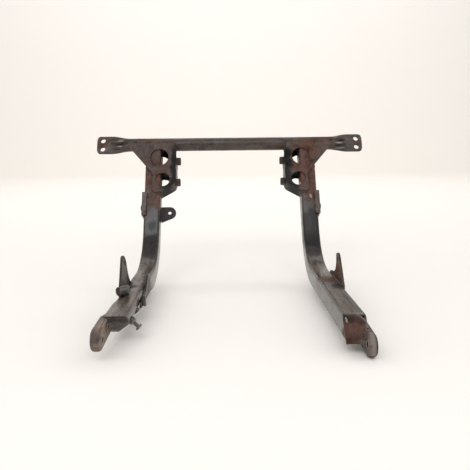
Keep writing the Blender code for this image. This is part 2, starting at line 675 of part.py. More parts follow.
def tab_bolt(frame):
    """Bolt head outside and round boss inside, at the front foot of the left tab."""
    z = GAP + BOSS_DIAMETER / 2
    tab_inside = TAB_THICKNESS / 2
    radius = BOSS_DIAMETER / 2
    bore = TAB_BOLT_DIAMETER / 2
    half = BOSS_LENGTH / 2
    ring = [(bore, half), (radius - BOSS_EDGE, half), (radius, half - BOSS_EDGE), (radius, -half),
            (bore, -half)]
    turned("tab_boss_left", ring, BARE_STEEL, frame, (tab_inside + GAP + half, BOSS_Y, z), ALONG_X,
           closed=True)
    tab_outside = tab_inside - TAB_THICKNESS
    head = TAB_BOLT_HEAD / 2
    shank = TAB_THICKNESS + GAP * 2 + BOSS_LENGTH * 0.8
    tall = TAB_BOLT_HEAD_HEIGHT
    dome = [(0, tall), (head * 0.45, tall * 0.93), (head * 0.8, tall * 0.7), (head, tall * 0.32), (head, 0),
            (bore - GAP, 0), (bore - GAP, -shank), (0, -shank)]
    turned("tab_bolt_left", dome, RUST, frame, (tab_outside - GAP, BOSS_Y, z), (0, -pi / 2, 0))
    hole = rod("tab_left_bolt_hole", bore, TAB_THICKNESS * 4, None, frame, (tab_outside, BOSS_Y, z),
               ALONG_X, 20, cutter=True)
    boolean(bpy.data.objects["tab_left"], hole)


def lug(side, tag, inner, thickness, eye, radius, root, crest, holes, lean, cap_outline, cap_thickness,
        fillet_span, material):
    """Forged lug: an eye beside the rail's end and a cap over the open end, in one piece."""
    name = "lug_" + tag
    root_y, root_top, root_bottom = root
    start = tangent_points(crest, eye, radius)[0]
    end = tangent_points((root_y, root_bottom), eye, radius)[1]
    outline = [(root_y, root_bottom), (root_y, root_top), crest] + arc(eye, radius, start, end + 360, 14)
    middle = side * (inner + thickness / 2)
    obj = plate(name, [outline], thickness, material, None, (middle, 0, 0), SIDEWAYS, FORGED_EDGE, 3)
    boolean(obj, rail_envelope(name + "_seat", side))
    face = make_frame(name + "_face", (0, END_Y, LEVEL_TOP), atan2(RAIL_SIDE, -lean))
    cap = plate(name + "_cap", [mirrored(cap_outline, side)], cap_thickness, None, face,
                (0, 0, GAP + LUG_STEP + cap_thickness / 2), cutter=True)
    boolean(obj, cap, "UNION")
    # a hollow fillet where the cap turns into the eye
    high, low = fillet_span
    bed = GAP + cap_thickness - LUG_OVERLAP
    rise = bed + LUG_FILLET + LUG_OVERLAP
    swell = [(inner + LUG_OVERLAP, bed), (inner + LUG_OVERLAP, rise)]
    swell += arc((inner - LUG_FILLET, rise), LUG_FILLET, 0, -90, 5)
    swell += [(inner - LUG_FILLET, bed)]
    slope = hypot(lean, RAIL_SIDE)
    fillet = plate(name + "_fillet", [mirrored(swell, side)], (low - high) * slope, None, face,
                   (0, -(high + low) * slope / 2, 0), (pi / 2, 0, 0), 0, cutter=True)
    boolean(obj, fillet, "UNION")
    for index, (center, diameter) in enumerate(zip(holes, (LUG_HOLE, LUG_SECOND_HOLE))):
        hole = rod(f"{name}_hole_{index + 1}", diameter / 2, thickness * 1.2, None, None,
                   (middle, *center), ALONG_X, 24, cutter=True)
        boolean(obj, hole)
    return obj


def lugs():
    inner = OUTER_X - RIGHT_LUG_INSET
    edge = inner + RIGHT_LUG_INSET / 2
    slope = hypot(RIGHT_END_LEAN, RAIL_SIDE)
    notch_x, notch_depth = CAP_NOTCH
    low = -slope - RIGHT_CAP_BELOW
    right_cap = [(INNER_X, low), (edge, low), (edge, -notch_depth - LUG_OVERLAP),
                 (OUTER_X - CAP_SLOPE_START, -RIGHT_CAP_TOP), (INNER_X + notch_x, -RIGHT_CAP_TOP),
                 (INNER_X + notch_x, -notch_depth), (INNER_X, -notch_depth)]
    lug(1, "right", inner, RIGHT_LUG_THICKNESS, RIGHT_LUG_EYE, RIGHT_LUG_RADIUS, RIGHT_LUG_ROOT,
        RIGHT_LUG_CREST, RIGHT_LUG_HOLES, RIGHT_END_LEAN, right_cap, RIGHT_CAP_THICKNESS, RIGHT_FILLET_SPAN, RUST)
    inner = OUTER_X - LEFT_LUG_INSET
    edge = inner + LEFT_LUG_INSET / 2
    slope = hypot(LEFT_END_LEAN, RAIL_SIDE)
    low = LEFT_CAP_ABOVE_FOOT - slope
    press = PRESSED_CORNER * slope / RAIL_SIDE
    left_cap = [(INNER_X, -LEFT_CAP_TOP), (INNER_X, press - slope),
                (INNER_X + PRESSED_CORNER - LUG_OVERLAP, low), (edge, low), (edge, -LEFT_CAP_TOP)]
    lug(-1, "left", inner, LEFT_LUG_THICKNESS, LEFT_LUG_EYE, LEFT_LUG_RADIUS, LEFT_LUG_ROOT,
        LEFT_LUG_CREST, LEFT_LUG_HOLES, LEFT_END_LEAN, left_cap, LEFT_CAP_THICKNESS, LEFT_FILLET_SPAN, RUSTY_PAINT)


def stand_bracket():
    """What is left of a side stand's bracket, on the left rail's inner side."""
    side_x = -(INNER_X - GAP)
    foot = LEVEL_TOP - STAND_DEPTH
    peak_radius = STAND_BACK_Y - STAND_PEAK_Y
    peak = (STAND_PEAK_Y, LEVEL_TOP + STAND_PEAK_RISE - peak_radius)
    outline = [(STAND_BACK_Y, foot)] + arc(peak, peak_radius, 0, 130, 9)
    outline += [(y, LEVEL_TOP - depth) for y, depth in (STAND_STEP, STAND_DIP, STAND_FRONT)]
    outline += [(STAND_FRONT[0], foot)]
    plate("stand_bracket", [outline], STAND_PLATE, BLACK_PAINT, None,
          (side_x + STAND_PLATE / 2, 0, 0), SIDEWAYS, STAND_EDGE, 2)
    wide, deep, tall = STOP_SIZE
    stop = [(-deep / 2, 0), (deep / 2, 0), (deep / 2, tall - STOP_CORNER), (deep / 2 - STOP_CORNER, tall),
            (-deep / 2, tall)]
    plate("stand_stop", [stop], wide, RUSTY_PAINT, None,
          (side_x + STAND_PLATE + GAP + wide / 2, STOP_Y, foot), SIDEWAYS, STAND_EDGE)


def on_pressed_flat(y, down, out):
    """A point on the left rail's pressed flat: down from its upper edge, and out from it."""
    step = sqrt(0.5)
    return (-INNER_X + (out - down) * step, y, LEVEL_BOTTOM + PRESSED_CORNER - (down + out) * step)


def stand_fasteners():
    """A pin on a welded seat, with its washer, and a weld nut, all on the pressed flat."""
    outwards = (0, radians(135), 0)
    hexagon("stand_nut", STAND_NUT_FLATS, STAND_NUT_HEIGHT, STAND_NUT_BORE, RUST, None,
            on_pressed_flat(STAND_NUT_Y, STAND_NUT_DOWN, GAP + STAND_NUT_HEIGHT / 2), outwards)
    shank = PIN_SHANK / 2
    bore = shank + GAP
    hexagon("stand_pin_seat", PIN_SEAT_FLATS, PIN_SEAT_HEIGHT, bore * 2, RUST, None,
            on_pressed_flat(PIN_Y, PIN_DOWN, GAP + PIN_SEAT_HEIGHT / 2), outwards)
    rim = WASHER_DIAMETER / 2
    half = WASHER_THICKNESS / 2
    ring = [(bore, half), (rim - PLATE_EDGE, half), (rim, half - PLATE_EDGE), (rim, -half), (bore, -half)]
    turned("stand_washer", ring, BARE_STEEL, None,
           on_pressed_flat(PIN_Y, PIN_DOWN, GAP * 2 + PIN_SEAT_HEIGHT + half), outwards, closed=True)
    head = PIN_HEAD / 2
    neck = PIN_LENGTH - PIN_HEAD_HEIGHT
    profile = [(0, PIN_LENGTH), (head - PIN_HEAD_EDGE, PIN_LENGTH), (head, PIN_LENGTH - PIN_HEAD_EDGE),
               (head, neck), (shank, neck), (shank, -PIN_TAIL), (0, -PIN_TAIL)]
    on_flat = on_pressed_flat(PIN_Y, PIN_DOWN, 0)
    turned("stand_pin", profile, BARE_STEEL, None, on_flat, outwards)
    hole = rod("stand_pin_hole", bore, RAIL_WALL * 4, None, None, on_flat, outwards, 24, cutter=True)
    boolean(bpy.data.objects["rail_left"], hole)


UPRIGHT = make_frame("upright_frame", (0, 0, 0), UPRIGHT_ANGLE)

crossbar()
for side, tag in ((-1, "left"), (1, "right")):
    rail("rail_" + tag, side, BLACK_PAINT)
    mount_plates(side, tag)
    side_clip(side, tag)
ear_left()
LEFT_TAB = make_frame("tab_left_frame", (LEFT_TAB_INSET - OUTER_X, 0, LEVEL_TOP), lean=LEFT_TAB_LEAN)
RIGHT_TAB = make_frame("tab_right_frame", (OUTER_X + GAP + TAB_THICKNESS / 2, 0, LEVEL_TOP))
left_toe = [(BOSS_Y - TOE_REACH / 2, TOE_RISE), (BOSS_Y - TOE_REACH, TOE_RISE / 2)]
standing_tab("tab_left", LEFT_TAB_HOLE_AT, LEFT_TAB_RADIUS, LEFT_TAB_FOOT, LEFT_TAB_BASE,
             LEFT_TAB_FRONT_RISE, LEFT_TAB, left_toe)
standing_tab("tab_right", RIGHT_TAB_HOLE_AT, RIGHT_TAB_RADIUS, RIGHT_TAB_FOOT, -TAB_OVERLAP,
             RIGHT_TAB_FRONT_RISE, RIGHT_TAB)
tab_bolt(LEFT_TAB)
lugs()
stand_bracket()
stand_fasteners()
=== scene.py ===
import bpy
import bmesh
from math import cos, exp, pi, radians, sin, sqrt
from mathutils import Matrix, Vector


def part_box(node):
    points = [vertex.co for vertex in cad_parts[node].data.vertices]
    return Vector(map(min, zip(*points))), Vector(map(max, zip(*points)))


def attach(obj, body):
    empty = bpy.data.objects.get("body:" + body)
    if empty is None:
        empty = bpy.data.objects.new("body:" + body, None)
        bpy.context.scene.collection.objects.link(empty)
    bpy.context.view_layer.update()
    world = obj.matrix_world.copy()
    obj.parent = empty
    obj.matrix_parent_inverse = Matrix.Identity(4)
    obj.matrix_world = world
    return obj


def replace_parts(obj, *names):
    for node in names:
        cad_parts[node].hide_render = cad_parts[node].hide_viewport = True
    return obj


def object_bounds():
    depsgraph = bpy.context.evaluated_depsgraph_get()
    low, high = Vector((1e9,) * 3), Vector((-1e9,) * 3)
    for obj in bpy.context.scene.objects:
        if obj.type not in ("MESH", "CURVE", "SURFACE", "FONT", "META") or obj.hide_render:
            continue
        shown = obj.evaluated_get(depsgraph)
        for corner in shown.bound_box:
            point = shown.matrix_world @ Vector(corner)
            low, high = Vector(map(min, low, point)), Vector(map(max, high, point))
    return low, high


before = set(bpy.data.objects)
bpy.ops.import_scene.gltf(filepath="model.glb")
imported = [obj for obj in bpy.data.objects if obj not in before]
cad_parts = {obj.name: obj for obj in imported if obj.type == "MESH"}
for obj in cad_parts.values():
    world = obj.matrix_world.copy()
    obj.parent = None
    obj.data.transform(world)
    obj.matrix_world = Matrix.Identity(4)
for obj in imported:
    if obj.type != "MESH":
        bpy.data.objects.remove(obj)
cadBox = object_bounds()
print("frame loaded:", len(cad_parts), "parts of one welded bracket")


# sizes of the object that the welds and the wear follow, in metres
shape = {
    "tilt": radians(63),          # the uprights above the level
    "railX": 0.150,               # middle of each rail, across
    "railHalf": 0.015,            # half the rail's square section
    "levelTop": -0.214,           # top of the level rails
    "plateFace": 0.0153,          # inner face of the box plates, from the upright's middle
    "barRadius": 0.0127,          # crossbar
}


def onUpright(x, u, n):           # x across, u up the upright, n out of its front face
    c, s = cos(shape["tilt"]), sin(shape["tilt"])
    return Vector((x, u * c - n * s, u * s + n * c))


class Wire:                       # one value of a node tree; sums on it become Math nodes
    def __init__(self, graph, socket):
        self.graph, self.socket = graph, socket

    def calc(self, operation, *others, clamp=False):
        values = dict(enumerate((self,) + others))
        return self.graph.add("ShaderNodeMath", {"operation": operation, "use_clamp": clamp}, values)

    def __add__(self, other):
        return self.calc("ADD", other)

    def __sub__(self, other):
        return self.calc("SUBTRACT", other)

    def __rsub__(self, other):
        return self.graph.add("ShaderNodeMath", {"operation": "SUBTRACT"}, {0: other, 1: self})

    def __mul__(self, other):
        return self.calc("MULTIPLY", other)

    def __truediv__(self, other):
        return self.calc("DIVIDE", other)

    def __pow__(self, other):
        return self.calc("POWER", other)

    __radd__ = __add__
    __rmul__ = __mul__

    def clamped(self):
        return self.calc("ADD", 0.0, clamp=True)


class Graph:                      # a node tree and the one way to put nodes into it
    def __init__(self, tree):
        self.tree = tree

    def add(self, kind, settings=None, sockets=None, out=0):
        node = self.tree.nodes.new(kind)
        for key, value in (settings or {}).items():
            if key == "stops":
                ramp = node.color_ramp
                while len(ramp.elements) < len(value):
                    ramp.elements.new(0.5)
                for element, (position, tint) in zip(ramp.elements, value):
                    element.position = position
                    element.color = (*tint, 1)
            else:
                setattr(node, key, value)
        for key, value in (sockets or {}).items():
            if isinstance(value, Wire):
                self.tree.links.new(value.socket, node.inputs[key])
            else:
                node.inputs[key].default_value = value
        return Wire(self, node.outputs[out])

    def blend(self, factor, first, second):
        return self.add("ShaderNodeMix", {"data_type": "RGBA"}, {0: factor, 6: first, 7: second}, 2)

    def tone(self, value, *stops):
        return self.add("ShaderNodeValToRGB", {"stops": stops}, {"Fac": value})


class Finish(Graph):              # a material whose patterns lie in the object's own coordinates
    def __init__(self, name):
        self.material = bpy.data.materials.new(name)
        self.material.use_nodes = True
        super().__init__(self.material.node_tree)
        self.shader = self.tree.nodes["Principled BSDF"]
        self.place = self.add("ShaderNodeTexCoord", out="Object")

    def noise(self, scale, detail=3.0, rough=0.55, stretch=None, warp=0.0, shift=None):
        place = self.place
        if stretch or shift:
            place = self.add("ShaderNodeMapping", None, {
                "Vector": place, "Scale": stretch or (1, 1, 1), "Location": shift or (0, 0, 0)})
        return self.add("ShaderNodeTexNoise", None, {
            "Vector": place, "Scale": scale, "Detail": detail, "Roughness": rough, "Distortion": warp})

    def between(self, value, low, high):
        return self.add("ShaderNodeMapRange", {"interpolation_type": "SMOOTHSTEP"}, {
            "Value": value, "From Min": low, "From Max": high})

    def open(self, reach):        # 1 in the open, towards 0 in holes and crevices
        return self.add("ShaderNodeAmbientOcclusion", {"samples": 8}, {"Distance": reach}, "AO")

    def upward(self):             # 1 on faces that lie level and look up
        facing = self.add("ShaderNodeNewGeometry", out="Normal")
        return self.add("ShaderNodeSeparateXYZ", None, {0: facing}, "Z")

    def near(self, point, reach):   # 1 at the point, 0 from reach away
        away = self.add("ShaderNodeVectorMath", {"operation": "DISTANCE"}, {0: self.place, 1: point},
                        "Value")
        return (1 - away / reach).clamped()

    def smear(self, point, reach, long):    # as near, but stretched along x
        off = self.add("ShaderNodeVectorMath", {"operation": "SUBTRACT"}, {0: self.place, 1: point})
        flat = self.add("ShaderNodeVectorMath", {"operation": "MULTIPLY"}, {0: off, 1: (1 / long, 1, 1)})
        away = self.add("ShaderNodeVectorMath", {"operation": "LENGTH"}, {0: flat}, "Value")
        return (1 - away / reach).clamped()

    def rims(self, width):        # rises at edges and in corners
        soft = self.add("ShaderNodeBevel", {"samples": 6}, {"Radius": width})
        flat = self.add("ShaderNodeNewGeometry", out="Normal")
        same = self.add("ShaderNodeVectorMath", {"operation": "DOT_PRODUCT"}, {0: soft, 1: flat}, "Value")
        return ((1 - same) * 5).clamped()

    def height(self, value, strength, reach, under=None):
        sockets = {"Height": value, "Strength": strength, "Distance": reach}
        if under:
            sockets["Normal"] = under
        return self.add("ShaderNodeBump", None, sockets)

    def done(self, **sockets):
        for name, value in sockets.items():
            target = self.shader.inputs[name.replace("_", " ")]
            if isinstance(value, Wire):
                self.tree.links.new(value.socket, target)
            else:
                target.default_value = value
        return self.material


def color(r, g, b):
    return (r, g, b, 1)


paintLook = {                     # what every finish starts from
    # colours
    "paint": (0.018, 0.016, 0.017), "faded": (0.036, 0.031, 0.030), "brown": (0.070, 0.044, 0.034),
    # the dark colour after dust serves grime and painted shade, the pale one after it painted highlights
    "dust": (0.170, 0.124, 0.094), "grime": (0.010, 0.008, 0.008), "rubbed": (0.210, 0.180, 0.158),
    "bare": (0.42, 0.37, 0.34), "rustDark": (0.036, 0.017, 0.013), "rustMid": (0.105, 0.047, 0.034),
    "rustLight": (0.180, 0.088, 0.060),
    # how much there is of rust, dirt film, dust on level tops, brown stain, chips, soot blots, painted shade
    # in crevices
    "rusty": 0.33, "dirt": 0.22, "settled": 0.56, "stain": 0.65, "chips": 0.35, "soot": 0.55, "deep": 0.85,
    # roughness of the clean paint, and what each kind of wear and the painted shade in crevices add to it
    "gloss": 0.14, "lyingRough": 0.10, "filmRough": 0.10, "stainRough": 0.14, "rustRough": 0.40,
    "deepRough": 0.3, "sootRough": 0.22,
    "ior": 1.5, "shine": 0.5, "chipMetal": 0.6,
    # width of worn edges, and reach of the painted shade in crevices
    "rimWidth": 0.0014, "rimWear": 0.9, "deepReach": 0.012, "deepStart": 0.45, "deepFull": 0.95,
    # patterns: scale, detail, roughness
    "broad": (9, 4, 0.6), "middle": (42, 5, 0.62), "fine": (260, 3, 0.6), "spots": (75, 4, 0.6),
    "streaks": (60, 3, 0.5), "scuffs": (190, 2, 0.5), "blots": (34, 4, 0.6), "peel": (420, 2, 0.5),
    "waves": (24, 2, 0.45),
    "grain": (1, 0.07, 1), "runs": (1, 0.25, 0.25),         # stretch of the scuffs and of the streaks
    # where each pattern starts to show and where it is full
    "rustEdge": (0.50, 0.66), "stainEdge": (0.36, 0.62), "fadeEdge": (0.42, 0.60), "scuffEdge": (0.40, 0.62),
    "filmEdge": (0.42, 0.66), "levelEdge": (0.80, 0.98), "dustEdge": (0.40, 0.58), "sootEdge": (0.56, 0.68),
    "smudgeEdge": (0.22, 0.72), "chipEdge": (0.66, 0.84), "nickEdge": (0.35, 0.5), "scrapeEdge": (0.15, 0.70),
    # relief: strength, depth
    "peelRelief": (0.10, 0.0006), "waveRelief": (0.09, 0.004), "pitRelief": (0.6, 0.0008),
    # marks at places of their own: rust blooms, dark patches (many of them painted shade, shadow and
    # reflection), chipped nicks, painted highlights and shade
    "blooms": [], "smudges": [], "nicks": [], "scrapes": [],
}


# old gloss black paint with brown rust under it, with painted shade in crevices and painted highlights and
# shade at listed places; changes are what differs from paintLook
def agedPaint(name, changes):
    look = paintLook | changes
    f = Finish(name)
    broad, middle, fine = f.noise(*look["broad"]), f.noise(*look["middle"], warp=0.3), f.noise(*look["fine"])
    spots = f.noise(*look["spots"], shift=(5, 2, 8))
    streaks = f.noise(*look["streaks"], stretch=look["runs"], shift=(3, 1, 2))
    scuffs = f.noise(*look["scuffs"], stretch=look["grain"], shift=(7, 0, 3))
    field = middle * 0.62 + broad * 0.38 + (look["rusty"] - 0.5)
    for point, reach, strength in look["blooms"]:
        field = field + f.near(point, reach) * strength
    rims = f.rims(look["rimWidth"])
    worn = (rims * (middle + 0.35) * look["rimWear"]).clamped()
    rust = f.between(field + worn * 0.35 + (fine - 0.5) * 0.22, *look["rustEdge"])
    stain = f.between(field + (streaks - 0.5) * 0.35, *look["stainEdge"])
    patchy = f.between(broad * 0.45 + spots * 0.55, *look["fadeEdge"])
    patchy = (patchy * 0.65 + f.between(scuffs, *look["scuffEdge"]) * 0.45).clamped()
    paint = f.blend(patchy, color(*look["paint"]), color(*look["faded"]))
    film = f.between(streaks * 0.6 + fine * 0.4, *look["filmEdge"])
    lying = f.between(f.upward(), *look["levelEdge"])
    dusty = f.between(scuffs * 0.7 + middle * 0.3, *look["dustEdge"]) * 0.85 + 0.15
    dirty = f.blend(film * look["dirt"] + lying * dusty * look["settled"], paint, color(*look["dust"]))
    browned = f.blend(stain * look["stain"], dirty, color(*look["brown"]))
    scale = f.tone(fine * 0.35 + spots * 0.65, (0.34, look["rustDark"]), (0.50, look["rustMid"]),
                   (0.66, look["rustLight"]))
    surface = f.blend(rust, browned, scale)
    blots = f.noise(*look["blots"], shift=(9, 4, 1))
    soot = f.between(blots + (fine - 0.5) * 0.15, *look["sootEdge"]) * look["soot"]
    # dark patches at listed places, many of them painted shade, shadow and reflection
    for point, reach in look["smudges"]:
        soot = (soot + f.between(f.near(point, reach) + (middle - 0.5) * 0.9, *look["smudgeEdge"])).clamped()
    surface = f.blend(soot, surface, color(*look["grime"]))
    chips = f.between(worn + (fine - 0.5) * 0.5, *look["chipEdge"]) * look["chips"]
    for point, reach in look["nicks"]:
        chips = (chips + f.between(f.near(point, reach) + (fine - 0.5) * 0.8, *look["nickEdge"])).clamped()
    surface = f.blend(chips, surface, color(*look["bare"]))
    # painted shade: darker in holes, crevices and corners, by ambient occlusion
    deep = f.between(1 - f.open(look["deepReach"]), look["deepStart"], look["deepFull"]) * look["deep"]
    surface = f.blend(deep, surface, color(*look["grime"]))
    for point, reach, long, strength in look["scrapes"]:      # painted highlights above 0, painted shade below 0
        mark = f.smear(point, reach, long) + (fine - 0.5) * 0.5
        mark = f.between(mark, *look["scrapeEdge"]) * abs(strength)
        surface = f.blend(mark, surface, color(*look["rubbed" if strength > 0 else "grime"]))
    rough = (look["gloss"] + lying * look["lyingRough"] + film * look["filmRough"]
             + stain * look["stainRough"] + rust * look["rustRough"] + deep * look["deepRough"]
             + soot * look["sootRough"])
    peel = f.height(f.noise(*look["peel"]), *look["peelRelief"])
    waves = f.height(f.noise(*look["waves"], shift=(1, 4, 2)), *look["waveRelief"], peel)
    pits = f.height(fine * rust + spots * rust * 0.6, *look["pitRelief"], waves)
    return f.done(Base_Color=surface, Roughness=rough.clamped(), Metallic=chips * look["chipMetal"],
                  Normal=pits, IOR=look["ior"], Specular_IOR_Level=look["shine"])


# rust blooms of the two rails: place, reach, strength
railRust = [(onUpright(side * 0.150, -0.060, 0.010), 0.105, 0.36) for side in (-1, 1)] + [
    (onUpright(-0.156, -0.085, 0.015), 0.030, 0.16),
    (onUpright(-0.146, -0.128, 0.015), 0.024, 0.22),
    (onUpright(0.152, -0.112, 0.015), 0.030, 0.12),
    (Vector((0.157, -0.256, -0.213)), 0.034, 0.42),
    (Vector((0.160, -0.392, -0.214)), 0.030, 0.14),
    (Vector((0.136, -0.428, -0.240)), 0.018, 0.45),
    (Vector((-0.160, -0.232, -0.214)), 0.032, 0.16),
    (Vector((-0.150, -0.400, -0.216)), 0.038, 0.16),
]

# dark patches: place, reach
# on the rails: painted shadow of the left tab, one dark patch on the left upright, painted reflection of the
# right tab in the glossy top, and a painted dark reflection on the right rail's bend
railShadeAndPatches = [
    (Vector((-0.1560, -0.2780, -0.2130)), 0.018), (onUpright(-0.1480, -0.1750, 0.015), 0.018),
    (Vector((0.1600, -0.2930, -0.2130)), 0.022), (Vector((0.1640, -0.3060, -0.2130)), 0.018),
] + [(onUpright(x, -u, 0.014), 0.030) for x in (0.144, 0.157) for u in (0.165, 0.185, 0.205)]
# painted shade at the left tab's foot
tabFootShade = [
    (Vector((-0.1580, -0.2620, -0.2060)), 0.022), (Vector((-0.1580, -0.2760, -0.2070)), 0.018),
]
lugDarkPatches = [
    (Vector((-0.1385, -0.4225, -0.2250)), 0.012), (Vector((-0.1570, -0.4220, -0.2260)), 0.012),
]
# painted shade inside the mount boxes, near their floors
boxInsideShade = [(onUpright(side * 0.1220, -0.102, n), 0.022) for side in (-1, 1) for n in (-0.008, 0.010)]
plateDarkPatches = [                   # the strip beside each web, and the plates' lower corners
    *[(onUpright(0.1040, -u, 0.018), 0.030) for u in (0.030, 0.055, 0.078)],
    (onUpright(0.1200, -0.095, 0.018), 0.022), (onUpright(-0.1200, -0.098, 0.018), 0.022),
    *[(onUpright(-0.1075, -u / 1000, 0.018), 0.015) for u in range(22, 92, 10)],
]

# painted highlights and shade: place, reach, how long along x, strength, above 0 a painted highlight, below 0
# painted shade
capShade = [                      # the shade over the left lug's cap
    (Vector((x, y, z)), 0.015, 1, -0.52) for x in (-0.138, -0.146, -0.154)
    for y, z in ((-0.4185, -0.2170), (-0.4110, -0.2230), (-0.3990, -0.2350))
]
lugEdge = {                       # the right lug's rounded edge: a painted highlight towards the face, painted shade beyond it
    "y": -0.4480, "z": -0.2447, "radius": 0.0148, "from": 85, "to": 215, "step": 14,
    "bands": ((0.1638, 0.0050, 0.55), (0.1705, 0.0058, -0.95)),       # x, reach, strength
}
lugEdgeLightAndShade = []
for turn in range(lugEdge["from"], lugEdge["to"], lugEdge["step"]):
    y = lugEdge["y"] + lugEdge["radius"] * cos(radians(turn))
    z = lugEdge["z"] + lugEdge["radius"] * sin(radians(turn))
    lugEdgeLightAndShade += [(Vector((x, y, z)), reach, 1, strength) for x, reach, strength in lugEdge["bands"]]
# more painted highlights on that edge, and painted shade at the top of the cap
lugEdgeLightAndShade += [
    (Vector((0.1625, -0.4290, -0.2285)), 0.0050, 1, 0.6),
    (Vector((0.1625, -0.4380, -0.2292)), 0.0050, 1, 0.6),
    (Vector((0.1440, -0.4269, -0.2188)), 0.0090, 1, -0.55),
]
crimpLightAndShade = [(onUpright(x, u, n), reach, long, strength) for x, u, n, reach, long, strength in (
    # the crossbar's left crimp, then its right one: painted highlights on the ridges, painted shade in the
    # hollows
    (-0.2180, 0.0056, 0.0075, 0.0034, 4.0, 0.75), (-0.2180, -0.0054, 0.0075, 0.0034, 4.0, 0.85),
    (-0.2200, 0.0003, 0.0020, 0.0034, 6.0, -0.80), (-0.2290, 0.0100, 0.0018, 0.0028, 5.0, -0.55),
    (-0.2230, -0.0106, 0.0030, 0.0028, 6.0, -0.65), (-0.2080, -0.0015, 0.0066, 0.0030, 4.0, -0.60),
    (0.2175, -0.0016, 0.0062, 0.0036, 3.6, 1.0), (0.2235, 0.0042, 0.0026, 0.0044, 2.8, -1.0),
    (0.2120, -0.0078, 0.0042, 0.0042, 5.0, -1.0), (0.1990, 0.0015, 0.0118, 0.0044, 5.0, -0.9),
    (0.2190, -0.0128, 0.0046, 0.0026, 6.0, 0.55), (0.2080, 0.0100, 0.0082, 0.0032, 5.0, 0.60))]

